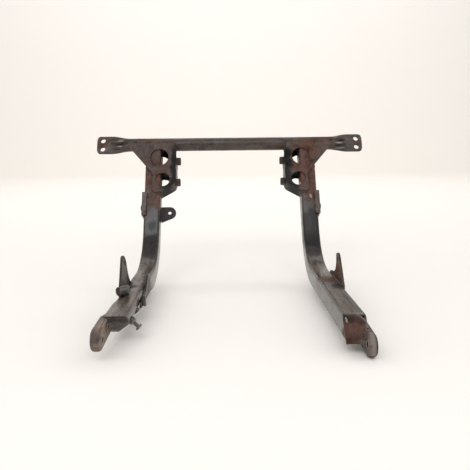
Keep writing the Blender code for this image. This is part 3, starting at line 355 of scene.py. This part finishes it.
finishes = {
    "rail": agedPaint("railPaint", {
        "soot": 0.30, "shine": 0.37, "deep": 0.6, "stain": 0.75, "blooms": railRust, "smudges": railShadeAndPatches,
        "nicks": [(onUpright(0.1520, -0.1165, 0.015), 0.0030), (onUpright(0.1532, -0.1205, 0.015), 0.0032)]}),
    "box": agedPaint("boxPaint", {
        "rusty": 0.35, "paint": (0.011, 0.010, 0.011), "faded": (0.026, 0.022, 0.021), "gloss": 0.34,
        "dirt": 0.20, "shine": 0.18, "chips": 0.7, "smudges": boxInsideShade}),
    "bar": agedPaint("crossbarPaint", {
        "rusty": 0.44, "paint": (0.036, 0.031, 0.030), "faded": (0.096, 0.076, 0.068), "gloss": 0.32,
        "dirt": 0.30, "stain": 0.70, "shine": 0.35, "settled": 0.0, "chips": 0.5, "grain": (0.08, 1, 1),
        # strong painted shade in the crossbar's grooves and crimps
        "deep": 1.0, "deepReach": 0.006, "deepStart": 0.22, "soot": 0.4, "scrapes": crimpLightAndShade,
        "rubbed": (0.330, 0.285, 0.255),
        "blooms": [(onUpright(side * 0.175, 0.004, 0.012), 0.045, 0.18) for side in (-1, 1)]
        + [(onUpright(side * 0.2530, 0, 0.003), 0.014, 0.26) for side in (-1, 1)]}),
    "plate": agedPaint("gussetPaint", {
        "rusty": 0.47, "paint": (0.034, 0.026, 0.025), "faded": (0.112, 0.078, 0.064), "gloss": 0.40,
        "dirt": 0.30, "stain": 0.80, "shine": 0.30, "brown": (0.086, 0.052, 0.041), "chips": 0.6,
        "smudges": plateDarkPatches, "soot": 0.45,
        "blooms": [(onUpright(side * 0.150, -0.045, 0.017), 0.050, 0.12) for side in (-1, 1)]}),
    "rust": agedPaint("rustedSteel", {
        "rusty": 0.64, "paint": (0.060, 0.040, 0.035), "faded": (0.088, 0.056, 0.047), "gloss": 0.45,
        "dirt": 0.3, "stain": 1.0, "chips": 0.4, "shine": 0.22, "soot": 0.35}),
    "tab": agedPaint("tabPaint", {
        "rusty": 0.42, "gloss": 0.34, "paint": (0.018, 0.013, 0.012), "faded": (0.060, 0.041, 0.033),
        "dirt": 0.28, "stain": 0.8, "settled": 0.1, "smudges": tabFootShade,
        "blooms": [(Vector((0.166, -0.235, -0.212)), 0.040, 0.30)], "chips": 0.7, "shine": 0.22}),
    "clip": agedPaint("clipPaint", {
        "rusty": 0.40, "gloss": 0.34, "paint": (0.046, 0.034, 0.030), "faded": (0.150, 0.112, 0.094),
        "dirt": 0.40, "stain": 0.7, "chips": 0.7, "shine": 0.3}),
    "bolt": agedPaint("oldBolts", {
        "rusty": 0.50, "gloss": 0.42, "paint": (0.034, 0.028, 0.024), "faded": (0.074, 0.058, 0.048),
        "rustDark": (0.028, 0.019, 0.014), "rustMid": (0.058, 0.039, 0.029),
        "rustLight": (0.110, 0.075, 0.055), "dirt": 0.3, "stain": 0.7, "chips": 0.7, "shine": 0.3}),
    "lug": agedPaint("lugPaint", {
        "rusty": 0.38, "gloss": 0.36, "paint": (0.082, 0.060, 0.050), "faded": (0.235, 0.165, 0.128),
        "dirt": 0.50, "stain": 0.7, "chips": 0.9, "rimWidth": 0.0018, "shine": 0.3, "soot": 0.4,
        "smudges": lugDarkPatches, "scrapes": capShade, "settled": 0.2, "brown": (0.105, 0.072, 0.058),
        "blooms": [(Vector((-0.150, -0.422, -0.222)), 0.030, -0.30)]}),
    "cap": agedPaint("rustedLug", {
        "rusty": 0.38, "gloss": 0.42, "paint": (0.070, 0.056, 0.050), "faded": (0.205, 0.165, 0.146),
        "dirt": 0.35, "stain": 0.8, "chips": 0.9, "shine": 0.2, "soot": 0.45, "rimWidth": 0.0018,
        "settled": 0.0, "rustMid": (0.084, 0.044, 0.035), "rustLight": (0.125, 0.070, 0.054),
        "scrapes": lugEdgeLightAndShade, "rubbed": (0.240, 0.200, 0.178),
        "blooms": [(Vector((x, -0.430, -0.234)), 0.026, 0.42) for x in (0.138, 0.150)]}),
    "paleWeld": agedPaint("paleWeld", {
        "rusty": 0.30, "gloss": 0.40, "paint": (0.110, 0.090, 0.080), "faded": (0.230, 0.192, 0.172),
        "dirt": 0.3, "stain": 0.5, "chips": 0.5, "shine": 0.3, "soot": 0.2, "deep": 0.4}),
    "weld": agedPaint("weldPaint", {
        "rusty": 0.46, "gloss": 0.30, "dirt": 0.4, "stain": 0.8, "chips": 0.5, "shine": 0.4}),
    "steel": agedPaint("dullSteel", {
        "rusty": 0.30, "paint": (0.034, 0.034, 0.030), "faded": (0.072, 0.066, 0.056), "gloss": 0.38,
        "dirt": 0.4, "stain": 0.5, "chips": 1.0, "ior": 1.6}),
    "wornSteel": agedPaint("wornSteel", {
        "rusty": 0.34, "paint": (0.150, 0.135, 0.118), "faded": (0.290, 0.262, 0.232), "gloss": 0.34,
        "dirt": 0.3, "stain": 0.4, "chips": 1.0, "ior": 1.6, "soot": 0.3}),
}
print("finishes made:", len(finishes))


def addPiece(name, mesh):
    piece = bpy.data.objects.new(name, mesh)
    bpy.context.scene.collection.objects.link(piece)
    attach(piece, "root")
    return piece


# curved CAD parts come as loose flat triangles: a merged, smooth copy stands for each
def smoothCopy(node, name, finish, crease=34, joinWithin=0.000004):
    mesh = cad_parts[node].data.copy()
    bm = bmesh.new()
    bm.from_mesh(mesh)
    bmesh.ops.remove_doubles(bm, verts=bm.verts, dist=joinWithin)
    for face in bm.faces:
        face.smooth = True
    bm.to_mesh(mesh)
    bm.free()
    mesh.set_sharp_from_angle(angle=radians(crease))
    mesh.materials.clear()
    mesh.materials.append(finish)
    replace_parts(addPiece(name, mesh), node)


curved = {                        # CAD node: piece, finish, slot
    "rail_left": ("railTubeLeft", "rail", "black_paint"),
    "rail_right": ("railTubeRight", "rail", "black_paint"),
    "lug_left": ("forgedLugLeft", "lug", "rusty_paint"),
    "lug_right": ("forgedLugRight", "cap", "rust"),
    "tab_boss_left": ("tabBoss", "steel", "dull_steel"),
    "tab_bolt_left": ("tabBolt", "rust", "rust"),
    "stand_washer": ("standWasher", "wornSteel", "dull_steel"),
    "stand_pin": ("standPin", "wornSteel", "dull_steel"),
}
for node, (name, finish, slotName) in curved.items():
    smoothCopy(node, name, finishes[finish])

kept = {                          # CAD nodes that stay, by finish
    "plate": ["mount_plate_front_left", "mount_plate_front_right"],
    "box": ["mount_plate_back_left", "mount_plate_back_right", "mount_web_left", "mount_web_right",
            "hose_ear_left", "stand_bracket"],
    "bolt": ["mount_nut_upper_left", "mount_nut_upper_right", "mount_nut_lower_left",
             "mount_nut_lower_right", "side_clip_bolt_left", "side_clip_bolt_right"],
    "clip": ["side_clip_left", "side_clip_right"],
    "tab": ["tab_left", "tab_right"],
    "steel": ["stand_nut", "stand_pin_seat", "stand_stop"],
}
for finish, nodes in kept.items():
    for node in nodes:
        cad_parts[node].material_slots[0].material = finishes[finish]
print("tubes, lugs and plates dressed")


# the crossbar: a tube whose ends are crushed flat, with deep crimps where it closes
def crushedTube():
    look = {
        "length": 0.529, "radius": shape["barRadius"], "wall": 0.0026, "slit": 0.0006,
        "flatHeight": 0.0375, "flatLength": 0.030, "corner": 0.007,               # the closed lips
        "crushLength": 0.038, "crimp": 0.80, "crimpSpread": 0.34,                 # round to flat
        "lipSquare": 0.3, "lipSwell": 1.04, "dentFade": 1.3,
        "hole": 0.00525, "holePitch": 0.0182, "holeInset": 0.0112, "drillLength": 0.03, "drillSides": 32,
        "around": 96, "slices": 44, "plainStops": [0.06, 0.12], "crease": 38,
    }
    # each dent or ridge: middle x, its reach along x, place across, spread, height
    dents = [(-0.2180, 0.024, 0.0056, 0.0021, 0.0021), (-0.2180, 0.024, -0.0056, 0.0021, 0.0021),
             (-0.2200, 0.027, 0.0, 0.0024, -0.0021), (-0.2270, 0.022, 0.0106, 0.0020, -0.0016),
             (-0.2230, 0.025, -0.0108, 0.0022, -0.0020), (0.2175, 0.020, -0.0016, 0.0023, 0.0024),
             (0.2225, 0.017, 0.0042, 0.0024, -0.0021), (0.2120, 0.026, -0.0078, 0.0022, -0.0021),
             (0.2190, 0.022, -0.0128, 0.0018, 0.0014), (0.2080, 0.020, 0.0100, 0.0020, 0.0012)]
    half = look["length"] / 2
    flatStart = half - look["flatLength"]
    crushStart = flatStart - look["crushLength"]

    def swell(u, middle, spread):
        return exp(-((u - middle) / spread) ** 2)

    def ring(x, wall):            # one section of the tube: its outside, or its bore where wall isn't 0
        along = abs(x)
        share = min(max((along - crushStart) / look["crushLength"], 0), 1)
        flat = share * share * (3 - 2 * share)
        radius, height = look["radius"] - wall, look["flatHeight"] / 2 - wall
        past = along - (half - look["corner"])
        if past > 0:
            height -= look["corner"] - sqrt(max(look["corner"] ** 2 - past ** 2, 0))
        thick = look["wall"] + look["slit"] / 2 - wall
        crimp = look["crimp"] * sin(pi * share) ** 2
        points = []
        for i in range(look["around"]):
            angle = 2 * pi * i / look["around"]
            up, out = sin(angle), cos(angle)
            squared = min(1, look["lipSwell"] * abs(out) ** look["lipSquare"]) * (1 if out >= 0 else -1)
            u = radius * up * (1 - flat) + height * up * flat
            n = radius * out * (1 - flat) + thick * squared * flat
            pinch = exp(-(up / look["crimpSpread"]) ** 2)
            n -= crimp * (look["radius"] - look["wall"]) * out * (1 - flat) * pinch
            if not wall:
                for middle, reach, across, spread, tall in dents:
                    window = cos(pi / 2 * min(abs(x - middle) / reach, 1)) ** look["dentFade"]
                    n += tall * swell(u, across, spread) * window * squared
            points.append(onUpright(x, u, n))
        return points

    count = look["slices"]
    stops = look["plainStops"] + [crushStart]
    stops += [crushStart + (half - crushStart) * i / count for i in range(1, count + 1)]
    stops = [-x for x in stops[::-1]] + [0] + stops
    rings = [ring(x, 0) for x in stops] + [ring(x, look["wall"]) for x in stops[::-1]]
    bm = bmesh.new()
    rows = [[bm.verts.new(p) for p in points] for points in rings]
    for a, b in zip(rows, rows[1:] + rows[:1]):
        for i in range(look["around"]):
            j = (i + 1) % look["around"]
            bm.faces.new((a[i], a[j], b[j], b[i]))
    bmesh.ops.recalc_face_normals(bm, faces=bm.faces)
    mesh = bpy.data.meshes.new("crossbarTube")
    bm.to_mesh(mesh)
    bm.free()
    tube = bpy.data.objects.new("crossbarSource", mesh)
    bpy.context.scene.collection.objects.link(tube)
    drills = []
    for side in (-1, 1):          # two bolt holes through each end
        for row in (-1, 1):
            bm = bmesh.new()
            bmesh.ops.create_cone(bm, cap_ends=True, segments=look["drillSides"], radius1=look["hole"],
                                  radius2=look["hole"], depth=look["drillLength"])
            place = onUpright(side * (half - look["holeInset"]), row * look["holePitch"] / 2, 0)
            bm.transform(Matrix.Translation(place) @ Matrix.Rotation(shape["tilt"], 4, "X"))
            drillMesh = bpy.data.meshes.new("drill")
            bm.to_mesh(drillMesh)
            bm.free()
            drill = bpy.data.objects.new("drill", drillMesh)
            bpy.context.scene.collection.objects.link(drill)
            drills.append(drill)
            cut = tube.modifiers.new("drill", "BOOLEAN")
            cut.object = drill
            cut.operation = "DIFFERENCE"
    made = bpy.data.meshes.new_from_object(tube.evaluated_get(bpy.context.evaluated_depsgraph_get()))
    for part in drills + [tube]:
        bpy.data.objects.remove(part, do_unlink=True)
    made.shade_smooth()
    made.set_sharp_from_angle(angle=radians(look["crease"]))
    made.materials.clear()
    made.materials.append(finishes["bar"])
    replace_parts(addPiece("crossbarTube", made), "crossbar")
    print("crossbar crushed:", len(made.polygons), "faces")


crushedTube()


class Recipe(Graph):              # a geometry tree with named inputs
    def __init__(self, name, inputs):
        super().__init__(bpy.data.node_groups.new(name, "GeometryNodeTree"))
        sockets = self.tree.interface
        sockets.new_socket("Geometry", in_out="INPUT", socket_type="NodeSocketGeometry")
        self.keys = {}
        for label, (kind, value) in inputs.items():
            socket = sockets.new_socket(label, in_out="INPUT", socket_type="NodeSocket" + kind)
            if value is not None:
                socket.default_value = value
            self.keys[label] = socket.identifier
        sockets.new_socket("Geometry", in_out="OUTPUT", socket_type="NodeSocketGeometry")
        self.group = self.tree.nodes.new("NodeGroupInput")

    def given(self, label):
        return Wire(self, self.group.outputs[label])

    def attribute(self, name, kind="FLOAT"):
        return self.add("GeometryNodeInputNamedAttribute", {"data_type": kind}, {"Name": name})

    def keep(self, geometry, name, value, kind="FLOAT"):
        return self.add("GeometryNodeStoreNamedAttribute", {"data_type": kind, "domain": "POINT"},
                        {"Geometry": geometry, "Name": name, "Value": value})

    def close(self, geometry):    # real geometry with its finish on it
        real = self.add("GeometryNodeRealizeInstances", None, {0: geometry})
        dressed = self.add("GeometryNodeSetMaterial", None,
                           {"Geometry": real, "Material": self.given("Finish")})
        end = self.tree.nodes.new("NodeGroupOutput")
        self.tree.links.new(dressed.socket, end.inputs[0])

    def run(self, name, source, values):
        maker = bpy.data.objects.new(name + "Maker", source)
        bpy.context.scene.collection.objects.link(maker)
        modifier = maker.modifiers.new(name, "NODES")
        modifier.node_group = self.tree
        for label, value in values.items():
            modifier[self.keys[label]] = value
        made = maker.evaluated_get(bpy.context.evaluated_depsgraph_get())
        mesh = bpy.data.meshes.new_from_object(made)
        bpy.data.objects.remove(maker, do_unlink=True)
        return mesh


# weld beads: a rippled swell along each path, squashed along the way it faces
def beadRecipe():
    form = {"stepsPerRipple": 5, "endWidth": 0.35, "endRise": 0.9, "endRound": 0.6, "lag": 1.1,
            "lumpScale": 420.0, "lumpDetail": 2.0}
    r = Recipe("weldBead", {"Pitch": ("Float", 0.0016), "Ripple": ("Float", 0.1), "Wobble": ("Float", 0.2),
                            "Sides": ("Int", 10), "Finish": ("Material", None)})
    paths = r.add("GeometryNodeMeshToCurve", None, {"Mesh": r.given("Geometry")})
    fineStep = r.given("Pitch") / form["stepsPerRipple"]
    paths = r.add("GeometryNodeResampleCurve", {"mode": "LENGTH"}, {"Curve": paths, "Length": fineStep})
    run = r.add("GeometryNodeSplineParameter", out="Length")
    whole = r.add("GeometryNodeSplineLength", out="Length")
    paths = r.keep(paths, "run", run)
    paths = r.keep(paths, "middle", r.add("GeometryNodeInputPosition"), "FLOAT_VECTOR")
    width = r.attribute("width")
    fromEnd = run.calc("MINIMUM", whole - run)
    taper = fromEnd / width * form["endRise"] + form["endWidth"] + r.attribute("endless")
    radius = width * (taper.calc("MINIMUM", 1.0) ** form["endRound"])
    ring = r.add("GeometryNodeCurvePrimitiveCircle", {"mode": "RADIUS"},
                 {"Resolution": r.given("Sides"), "Radius": 1.0})
    skin = r.add("GeometryNodeCurveToMesh", None,
                 {"Curve": paths, "Profile Curve": ring, "Scale": radius, "Fill Caps": True})
    place = r.add("GeometryNodeInputPosition")
    middle = r.attribute("middle", "FLOAT_VECTOR")
    facing = r.attribute("facing", "FLOAT_VECTOR")
    off = r.add("ShaderNodeVectorMath", {"operation": "SUBTRACT"}, {0: place, 1: middle})
    along = r.add("ShaderNodeVectorMath", {"operation": "DOT_PRODUCT"}, {0: off, 1: facing}, "Value")
    lag = along / width * form["lag"]       # the ripples trail behind at the foot of the bead
    phase = (r.attribute("run") / r.given("Pitch")) * (2 * pi) + lag
    lumps = r.add("ShaderNodeTexNoise", {"noise_dimensions": "3D"},
                  {"Vector": place, "Scale": form["lumpScale"], "Detail": form["lumpDetail"]})
    swell = phase.calc("SINE") * r.given("Ripple") + (lumps - 0.5) * r.given("Wobble")
    grown = r.add("ShaderNodeVectorMath", {"operation": "SCALE"}, {0: off, "Scale": swell})
    pressed = r.add("ShaderNodeVectorMath", {"operation": "SCALE"},
                    {0: facing, "Scale": along * (r.attribute("squash") - 1)})
    move = r.add("ShaderNodeVectorMath", {"operation": "ADD"}, {0: grown, 1: pressed})
    skin = r.add("GeometryNodeSetPosition", None, {"Geometry": skin, "Offset": move})
    skin = r.add("GeometryNodeSetShadeSmooth", None, {"Geometry": skin})
    r.close(skin)
    return r


weldBead = beadRecipe()
beadLook = {"Pitch": 0.0017, "Ripple": 0.09, "Wobble": 0.35, "Sides": 10}


def weldGroup(name, beads, finish="weld"):      # each bead: path, half width, squash, facing, closed
    mesh = bpy.data.meshes.new(name + "Paths")
    points, edges, rows = [], [], []
    for path, width, squash, facing, *closed in beads:
        first = len(points)
        points += path
        edges += [(first + i, first + i + 1) for i in range(len(path) - 1)]
        if closed:
            edges.append((first + len(path) - 1, first))
        away = Vector(facing).normalized()
        rows += [(width, squash, 2.0 if closed else 0.0, away)] * len(path)     # a ring never tapers
    mesh.from_pydata(points, edges, [])
    for index, label in enumerate(("width", "squash", "endless")):
        mesh.attributes.new(label, "FLOAT", "POINT").data.foreach_set("value", [row[index] for row in rows])
    facings = mesh.attributes.new("facing", "FLOAT_VECTOR", "POINT")
    facings.data.foreach_set("vector", [v for row in rows for v in row[3]])
    made = weldBead.run(name, mesh, beadLook | {"Finish": finishes[finish]})
    addPiece(name, made)


def straight(a, b, steps=8):
    return [Vector(a).lerp(Vector(b), i / steps) for i in range(steps + 1)]


def ringPath(middle, radius, axisA, axisB, start=0, end=360, steps=24):
    count = steps if end - start >= 360 else steps + 1
    turns = [radians(start + (end - start) * i / steps) for i in range(count)]
    return [Vector(middle) + Vector(axisA) * radius * cos(t) + Vector(axisB) * radius * sin(t) for t in turns]


def mountWelds(side):
    face, skin = shape["plateFace"], 0.0152
    up, out, across = onUpright(0, 1, 0), onUpright(0, 0, 1), Vector((side, 0, 0))

    def at(x, u, n):
        return onUpright(side * x, u, n)

    beads = []
    for row, reach in ((1, 0.2005), (-1, 0.1555)):        # both plates to the crossbar
        path = [at(x, -0.0028, row * skin) for x in (0.1095, 0.125, 0.150, reach - 0.002)]
        beads.append((path, 0.0044, 0.60, onUpright(0, 0.35, row)))
    for x, reach in ((0.1095, 70), (0.1350, 62), (0.1652, 62)):     # web and rail sides round the crossbar
        path = ringPath(at(x, 0, 0), shape["barRadius"] + 0.0004, -up, out, -reach, reach, 14)
        beads.append((path, 0.0019, 0.8, -up))
    seams = (                     # on the rail: from, to, half width, facing across, up and out
        ((0.1500, -0.1045, face), (0.1503, -0.0745, face), 0.0021, (1, 0, 1)),        # front plate's edge
        ((0.1512, -0.0720, face), (0.1640, -0.0560, face), 0.0020, (1, 0, 1)),
        ((0.1350, -0.1100, face), (0.1445, -0.1102, face), 0.0019, (0, -1, 1)),       # its foot
        ((0.1563, -0.0150, -face), (0.1563, -0.1055, -face), 0.0021, (1, 0, -1)),     # back plate's edge
        ((0.1375, -0.1080, -face), (0.1545, -0.1080, -face), 0.0019, (0, -1, -1)),    # its foot
        ((0.1346, -0.1088, -0.0130), (0.1346, -0.1088, 0.0130), 0.0020, (-1, -1, 0)),     # box floor
    )
    for a, b, width, facing in seams:
        beads.append((straight(at(*a), at(*b)), width, 0.8,
                      across * facing[0] + up * facing[1] + out * facing[2]))
    for row in (1, -1):                                   # seams along the box's two long corners
        for top, low in ((0.022, 0.047), (0.060, 0.086)):
            beads.append((straight(at(0.1064, -top, row * skin), at(0.1064, -low, row * skin)),
                          0.0011, 0.9, out * row - across))
    for depth in (0.0370, 0.0820):                        # projection welds of the nuts
        beads.append((ringPath(at(0.1058, -depth, 0), 0.0068, up, out), 0.0008, 0.8, across, True))
    weldGroup("mountWelds" + ("Left" if side < 0 else "Right"), beads, "plate")


def lowerWelds(side):
    top, x = shape["levelTop"], shape["railX"] + shape["railHalf"]
    inner, skin = -(shape["railX"] - shape["railHalf"]), 0.0002
    across, up, back = Vector((side, 0, 0)), Vector((0, 0, 1)), Vector((0, 1, 0))
    beads = []
    if side > 0:                                          # the tab overlaps the rail's side
        for off, sink, width, facing in ((-0.0009, 0.0009, 0.0021, up - across),
                                         (0.0004, 0.0113, 0.0018, across - up)):
            path = straight((x + off, -0.204, top - sink), (x + off, -0.287, top - sink))
            beads.append((path, width, 0.8, facing))
    else:                                                 # the tab stands on the rail's top
        for tabX, sink in ((-0.1579, 0.0), (-0.1628, 0.0006)):
            path = straight((tabX, -0.2580, top - sink), (tabX, -0.3200, top - sink))
            beads.append((path, 0.0016, 0.8, up))
    for row in (1, -1):                                   # tacks that hold the clip's lips
        for a, b in ((0.112, 0.121), (0.141, 0.150)):
            lip = row * (shape["railHalf"] + skin)
            path = straight(onUpright(side * 0.1596, -a, lip), onUpright(side * 0.1596, -b, lip))
            beads.append((path, 0.0016, 0.8, onUpright(-side, 0, row)))
    # the lug on the rail's outer side: down its root, then forwards along its crest
    outer = side * (x + skin)
    rootY, high, low = (-0.404, -0.2260, -0.2415) if side > 0 else (-0.401, -0.2180, -0.2415)
    crest = (-0.4165, -0.2275) if side > 0 else (-0.4100, -0.2152)
    beads.append((straight((outer, rootY + skin, high - 0.002), (outer, rootY + skin, low)), 0.0020, 0.8,
                  across + back))
    beads.append((straight((outer, rootY - 0.001, high + skin), (outer, *crest)), 0.0019, 0.8, across + up))
    if side < 0:                                          # the stand bracket's two edges, and the ear
        for off, sink, endY, endSink, width, facing in (
                (0.0008, 0.0010, -0.2900, 0.0046, 0.0019, up - across),
                (0.0005, 0.0180, -0.3290, 0.0180, 0.0015, -across - up)):
            path = straight((inner + off, -0.2435, top - sink), (inner + off, endY, top - endSink))
            beads.append((path, width, 0.8, facing))
        ear = shape["railHalf"] - 0.003
        path = straight(onUpright(inner + 0.0004, -0.1300, -ear), onUpright(inner + 0.0004, -0.1575, -ear))
        beads.append((path, 0.0017, 0.8, onUpright(1, 0, 1)))
    weldGroup("railWelds" + ("Left" if side < 0 else "Right"), beads)


# bare, worn metal on the rims of the lugs' holes and edges, a pale bead that is a painted reflection in the
# right cap's notch, and pale seams on the right rail's end
def rubbedRimsAndGlint():
    left, right = -0.1597, 0.1589                         # inner faces of the lugs
    toY, toZ = Vector((0, 1, 0)), Vector((0, 0, 1))
    leftRims = [
        (ringPath((left, -0.4470, -0.2325), 0.0054, toY, toZ), 0.0011, 0.7, (1, 0, 0), True),
        (ringPath((left, -0.4184, -0.2280), 0.0049, toY, toZ, 90, 270), 0.0010, 0.7, (1, 0, 0)),
        (straight((left, -0.4225, -0.2158), (left, -0.4440, -0.2175)), 0.0008, 0.7, (1, 0, 1)),
    ]
    rightRimAndGlint = [                 # the hole's rim, and a pale drop in the cap's notch that is a painted reflection
        (ringPath((right, -0.4518, -0.2428), 0.0052, toY, toZ), 0.0008, 0.6, (-1, 0, 0), True),
        (straight((0.1377, -0.4252, -0.2168), (0.1386, -0.4302, -0.2222)), 0.0015, 0.7, (0, -1, 0.8)),
    ]
    seams = [                     # across the rail's end, and down beside the lug
        (straight((0.1378, -0.4191, -0.2152), (0.1618, -0.4191, -0.2152)), 0.0021, 0.8, (0, -0.8, 0.6)),
        (straight((0.1530, -0.4218, -0.2150), (0.1622, -0.4277, -0.2216))
         + straight((0.1626, -0.4295, -0.2243), (0.1630, -0.4340, -0.2286), 3), 0.0019, 0.6,
         (0.3, -0.8, 0.6)),
    ]
    weldGroup("rubbedRimsLeft", leftRims, "wornSteel")
    weldGroup("rubbedRimsRight", rightRimAndGlint, "wornSteel")
    weldGroup("paleSeamRight", seams, "paleWeld")


for side in (-1, 1):
    mountWelds(side)
    lowerWelds(side)
rubbedRimsAndGlint()
print("weld beads laid")


# threads of the weld nuts: one helical ridge in each bore
def threadRecipe():
    r = Recipe("nutThread", {"Radius": ("Float", 0.004), "Pitch": ("Float", 0.00125),
                             "Depth": ("Float", 0.0006), "Turns": ("Float", 6.0),
                             "Finish": ("Material", None)})
    helix = r.add("GeometryNodeCurveSpiral", None, {
        "Resolution": 24, "Rotations": r.given("Turns"), "Start Radius": r.given("Radius"),
        "End Radius": r.given("Radius"), "Height": r.given("Pitch") * r.given("Turns")})
    ridge = r.add("GeometryNodeCurvePrimitiveCircle", {"mode": "RADIUS"},
                  {"Resolution": 3, "Radius": r.given("Depth")})
    skin = r.add("GeometryNodeCurveToMesh", None, {"Curve": helix, "Profile Curve": ridge, "Fill Caps": True})
    r.close(skin)
    return r


nutThread = threadRecipe()
threads = {                       # bore radius, pitch, half the ridge, turns
    "mountThreads": {"Radius": 0.0040, "Pitch": 0.00125, "Depth": 0.00062, "Turns": 5.6},
    "standThread": {"Radius": 0.0024, "Pitch": 0.0008, "Depth": 0.00042, "Turns": 5.0},
}


def cutThreads(name, nodes, turn):      # one ridge in the middle of each node's box
    look = threads[name]
    bm = bmesh.new()
    for node in nodes:
        low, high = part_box(node)
        part = nutThread.run(name, bpy.data.meshes.new(name + "Seed"), look | {"Finish": finishes["rust"]})
        part.transform(Matrix.Translation((low + high) / 2) @ Matrix.Rotation(radians(turn), 4, "Y")
                       @ Matrix.Translation((0, 0, -look["Pitch"] * look["Turns"] / 2)))
        bm.from_mesh(part)
    bmesh.ops.recalc_face_normals(bm, faces=bm.faces)
    mesh = bpy.data.meshes.new(name)
    bm.to_mesh(mesh)
    bm.free()
    mesh.materials.append(finishes["rust"])
    addPiece(name, mesh)


mountNuts = [f"mount_nut_{row}_{tag}" for row in ("upper", "lower") for tag in ("left", "right")]
cutThreads("mountThreads", mountNuts, 90)
cutThreads("standThread", ["stand_nut"], 135)
print("threads cut")


# a pale sweep: level floor under the object's lowest point, bent up into a wall
def studioSweep():
    look = {"front": -1.05, "back": 2.95, "half": 5.0, "bend": 0.05, "wall": 3.5, "gap": 0.0004, "steps": 12,
            "color": (0.995, 0.956, 0.910), "shade": 0.985, "rough": 0.9, "relief": (0.03, 0.002),
            "clouds": (1.4, 2, 0.5), "tooth": (90, 2)}    # patterns: scale, detail, roughness
    floor = cadBox[0].z - look["gap"]
    profile = [(look["front"], floor), (look["back"] - look["bend"], floor)]
    for i in range(1, look["steps"] + 1):
        angle = radians(90 * i / look["steps"])
        profile.append((look["back"] - look["bend"] + look["bend"] * sin(angle),
                        floor + look["bend"] * (1 - cos(angle))))
    profile.append((look["back"], floor + look["wall"]))
    verts = [(x, y, z) for x in (-look["half"], look["half"]) for y, z in profile]
    count = len(profile)
    faces = [(i, count + i, count + i + 1, i + 1) for i in range(count - 1)]
    mesh = bpy.data.meshes.new("studioSweep")
    mesh.from_pydata(verts, [], faces)
    mesh.shade_smooth()
    sweep = bpy.data.objects.new("studioSweep", mesh)
    bpy.context.scene.collection.objects.link(sweep)
    f = Finish("palePaper")
    shaded = color(*(c * look["shade"] for c in look["color"]))
    tint = f.blend(f.noise(*look["clouds"]), color(*look["color"]), shaded)
    mesh.materials.append(f.done(Base_Color=tint, Roughness=look["rough"],
                                 Normal=f.height(f.noise(*look["tooth"]), *look["relief"])))


studioSweep()


def lampPanel(name, look):
    lamp = bpy.data.lights.new(name, "AREA")
    lamp.shape = "RECTANGLE"
    lamp.size, lamp.size_y = look["size"]
    lamp.energy = look["power"]
    panel = bpy.data.objects.new(name, lamp)
    bpy.context.scene.collection.objects.link(panel)
    panel.location = look["place"]
    aim = Vector(look["aim"]) - Vector(look["place"])
    panel.rotation_euler = aim.to_track_quat("-Z", "Y").to_euler()


# a bright room with a dimmer ceiling, dark on the camera's side
def studioLight():
    look = {"side": 1.03, "ceiling": 0.50, "cameraSide": 0.22,
            "ceilingFrom": 0.62, "ceilingFull": 0.86,     # height at which the room dims
            "darkFrom": 0.30, "darkFade": 0.35,           # how far towards the camera it goes dark
            "darkBelow": 0.52, "darkRise": 0.16}          # and below what height
    lamps = {
        "softbox": {"power": 23.0, "size": (2.4, 0.9), "place": (-0.25, -2.0, 1.62), "aim": (0, -0.2, -0.1)},
        "wallWash": {"power": 33.0, "size": (4.0, 1.5), "place": (0, 1.3, 2.4), "aim": (0, 2.9, 0.35)},
    }
    side, ceiling, cameraSide = ((look[key],) * 3 for key in ("side", "ceiling", "cameraSide"))
    world = bpy.data.worlds.new("studioWorld")
    world.use_nodes = True
    bpy.context.scene.world = world
    g = Graph(world.node_tree)
    way = g.add("ShaderNodeTexCoord", out="Generated")
    height = g.add("ShaderNodeSeparateXYZ", None, {0: way}, "Z")
    front = 0.0 - g.add("ShaderNodeSeparateXYZ", None, {0: way}, "Y")
    sky = g.tone(height, (0.0, side), (look["ceilingFrom"], side), (look["ceilingFull"], ceiling),
                 (1.0, ceiling))
    dark = (((front - look["darkFrom"]) / look["darkFade"]).clamped()
            * ((look["darkBelow"] - height) / look["darkRise"]).clamped())
    room = g.blend(dark, sky, color(*cameraSide))
    back = world.node_tree.nodes["Background"]
    world.node_tree.links.new(room.socket, back.inputs["Color"])
    back.inputs["Strength"].default_value = 1.0
    for name, lamp in lamps.items():
        lampPanel(name, lamp)


studioLight()


# the camera that was fitted to the photo: angles in degrees, focal length in pixels of the image
def camera():
    look = {"place": (-0.009, -1.019, -0.008), "down": 9.85, "yaw": 0.96, "roll": 0.6, "focal": 500.0,
            "imageWidth": 470, "sensor": 36, "clip": 0.02}
    down, yaw, roll = (radians(look[key]) for key in ("down", "yaw", "roll"))
    ahead = Vector((sin(yaw) * cos(down), cos(yaw) * cos(down), -sin(down)))
    level = ahead.cross(Vector((0, 0, 1))).normalized()
    right = level * cos(roll) - level.cross(ahead) * sin(roll)
    above = right.cross(ahead)
    data = bpy.data.cameras.new("photoCamera")
    data.sensor_width = look["sensor"]
    data.lens = look["sensor"] * look["focal"] / look["imageWidth"]
    data.clip_start = look["clip"]
    eye = bpy.data.objects.new("photoCamera", data)
    bpy.context.scene.collection.objects.link(eye)
    turn = Matrix((right, above, -ahead)).transposed().to_4x4()
    eye.matrix_world = Matrix.Translation(look["place"]) @ turn
    bpy.context.scene.camera = eye


camera()
bpy.context.scene.view_settings.view_transform = "Standard"
print("floor, light and camera set")
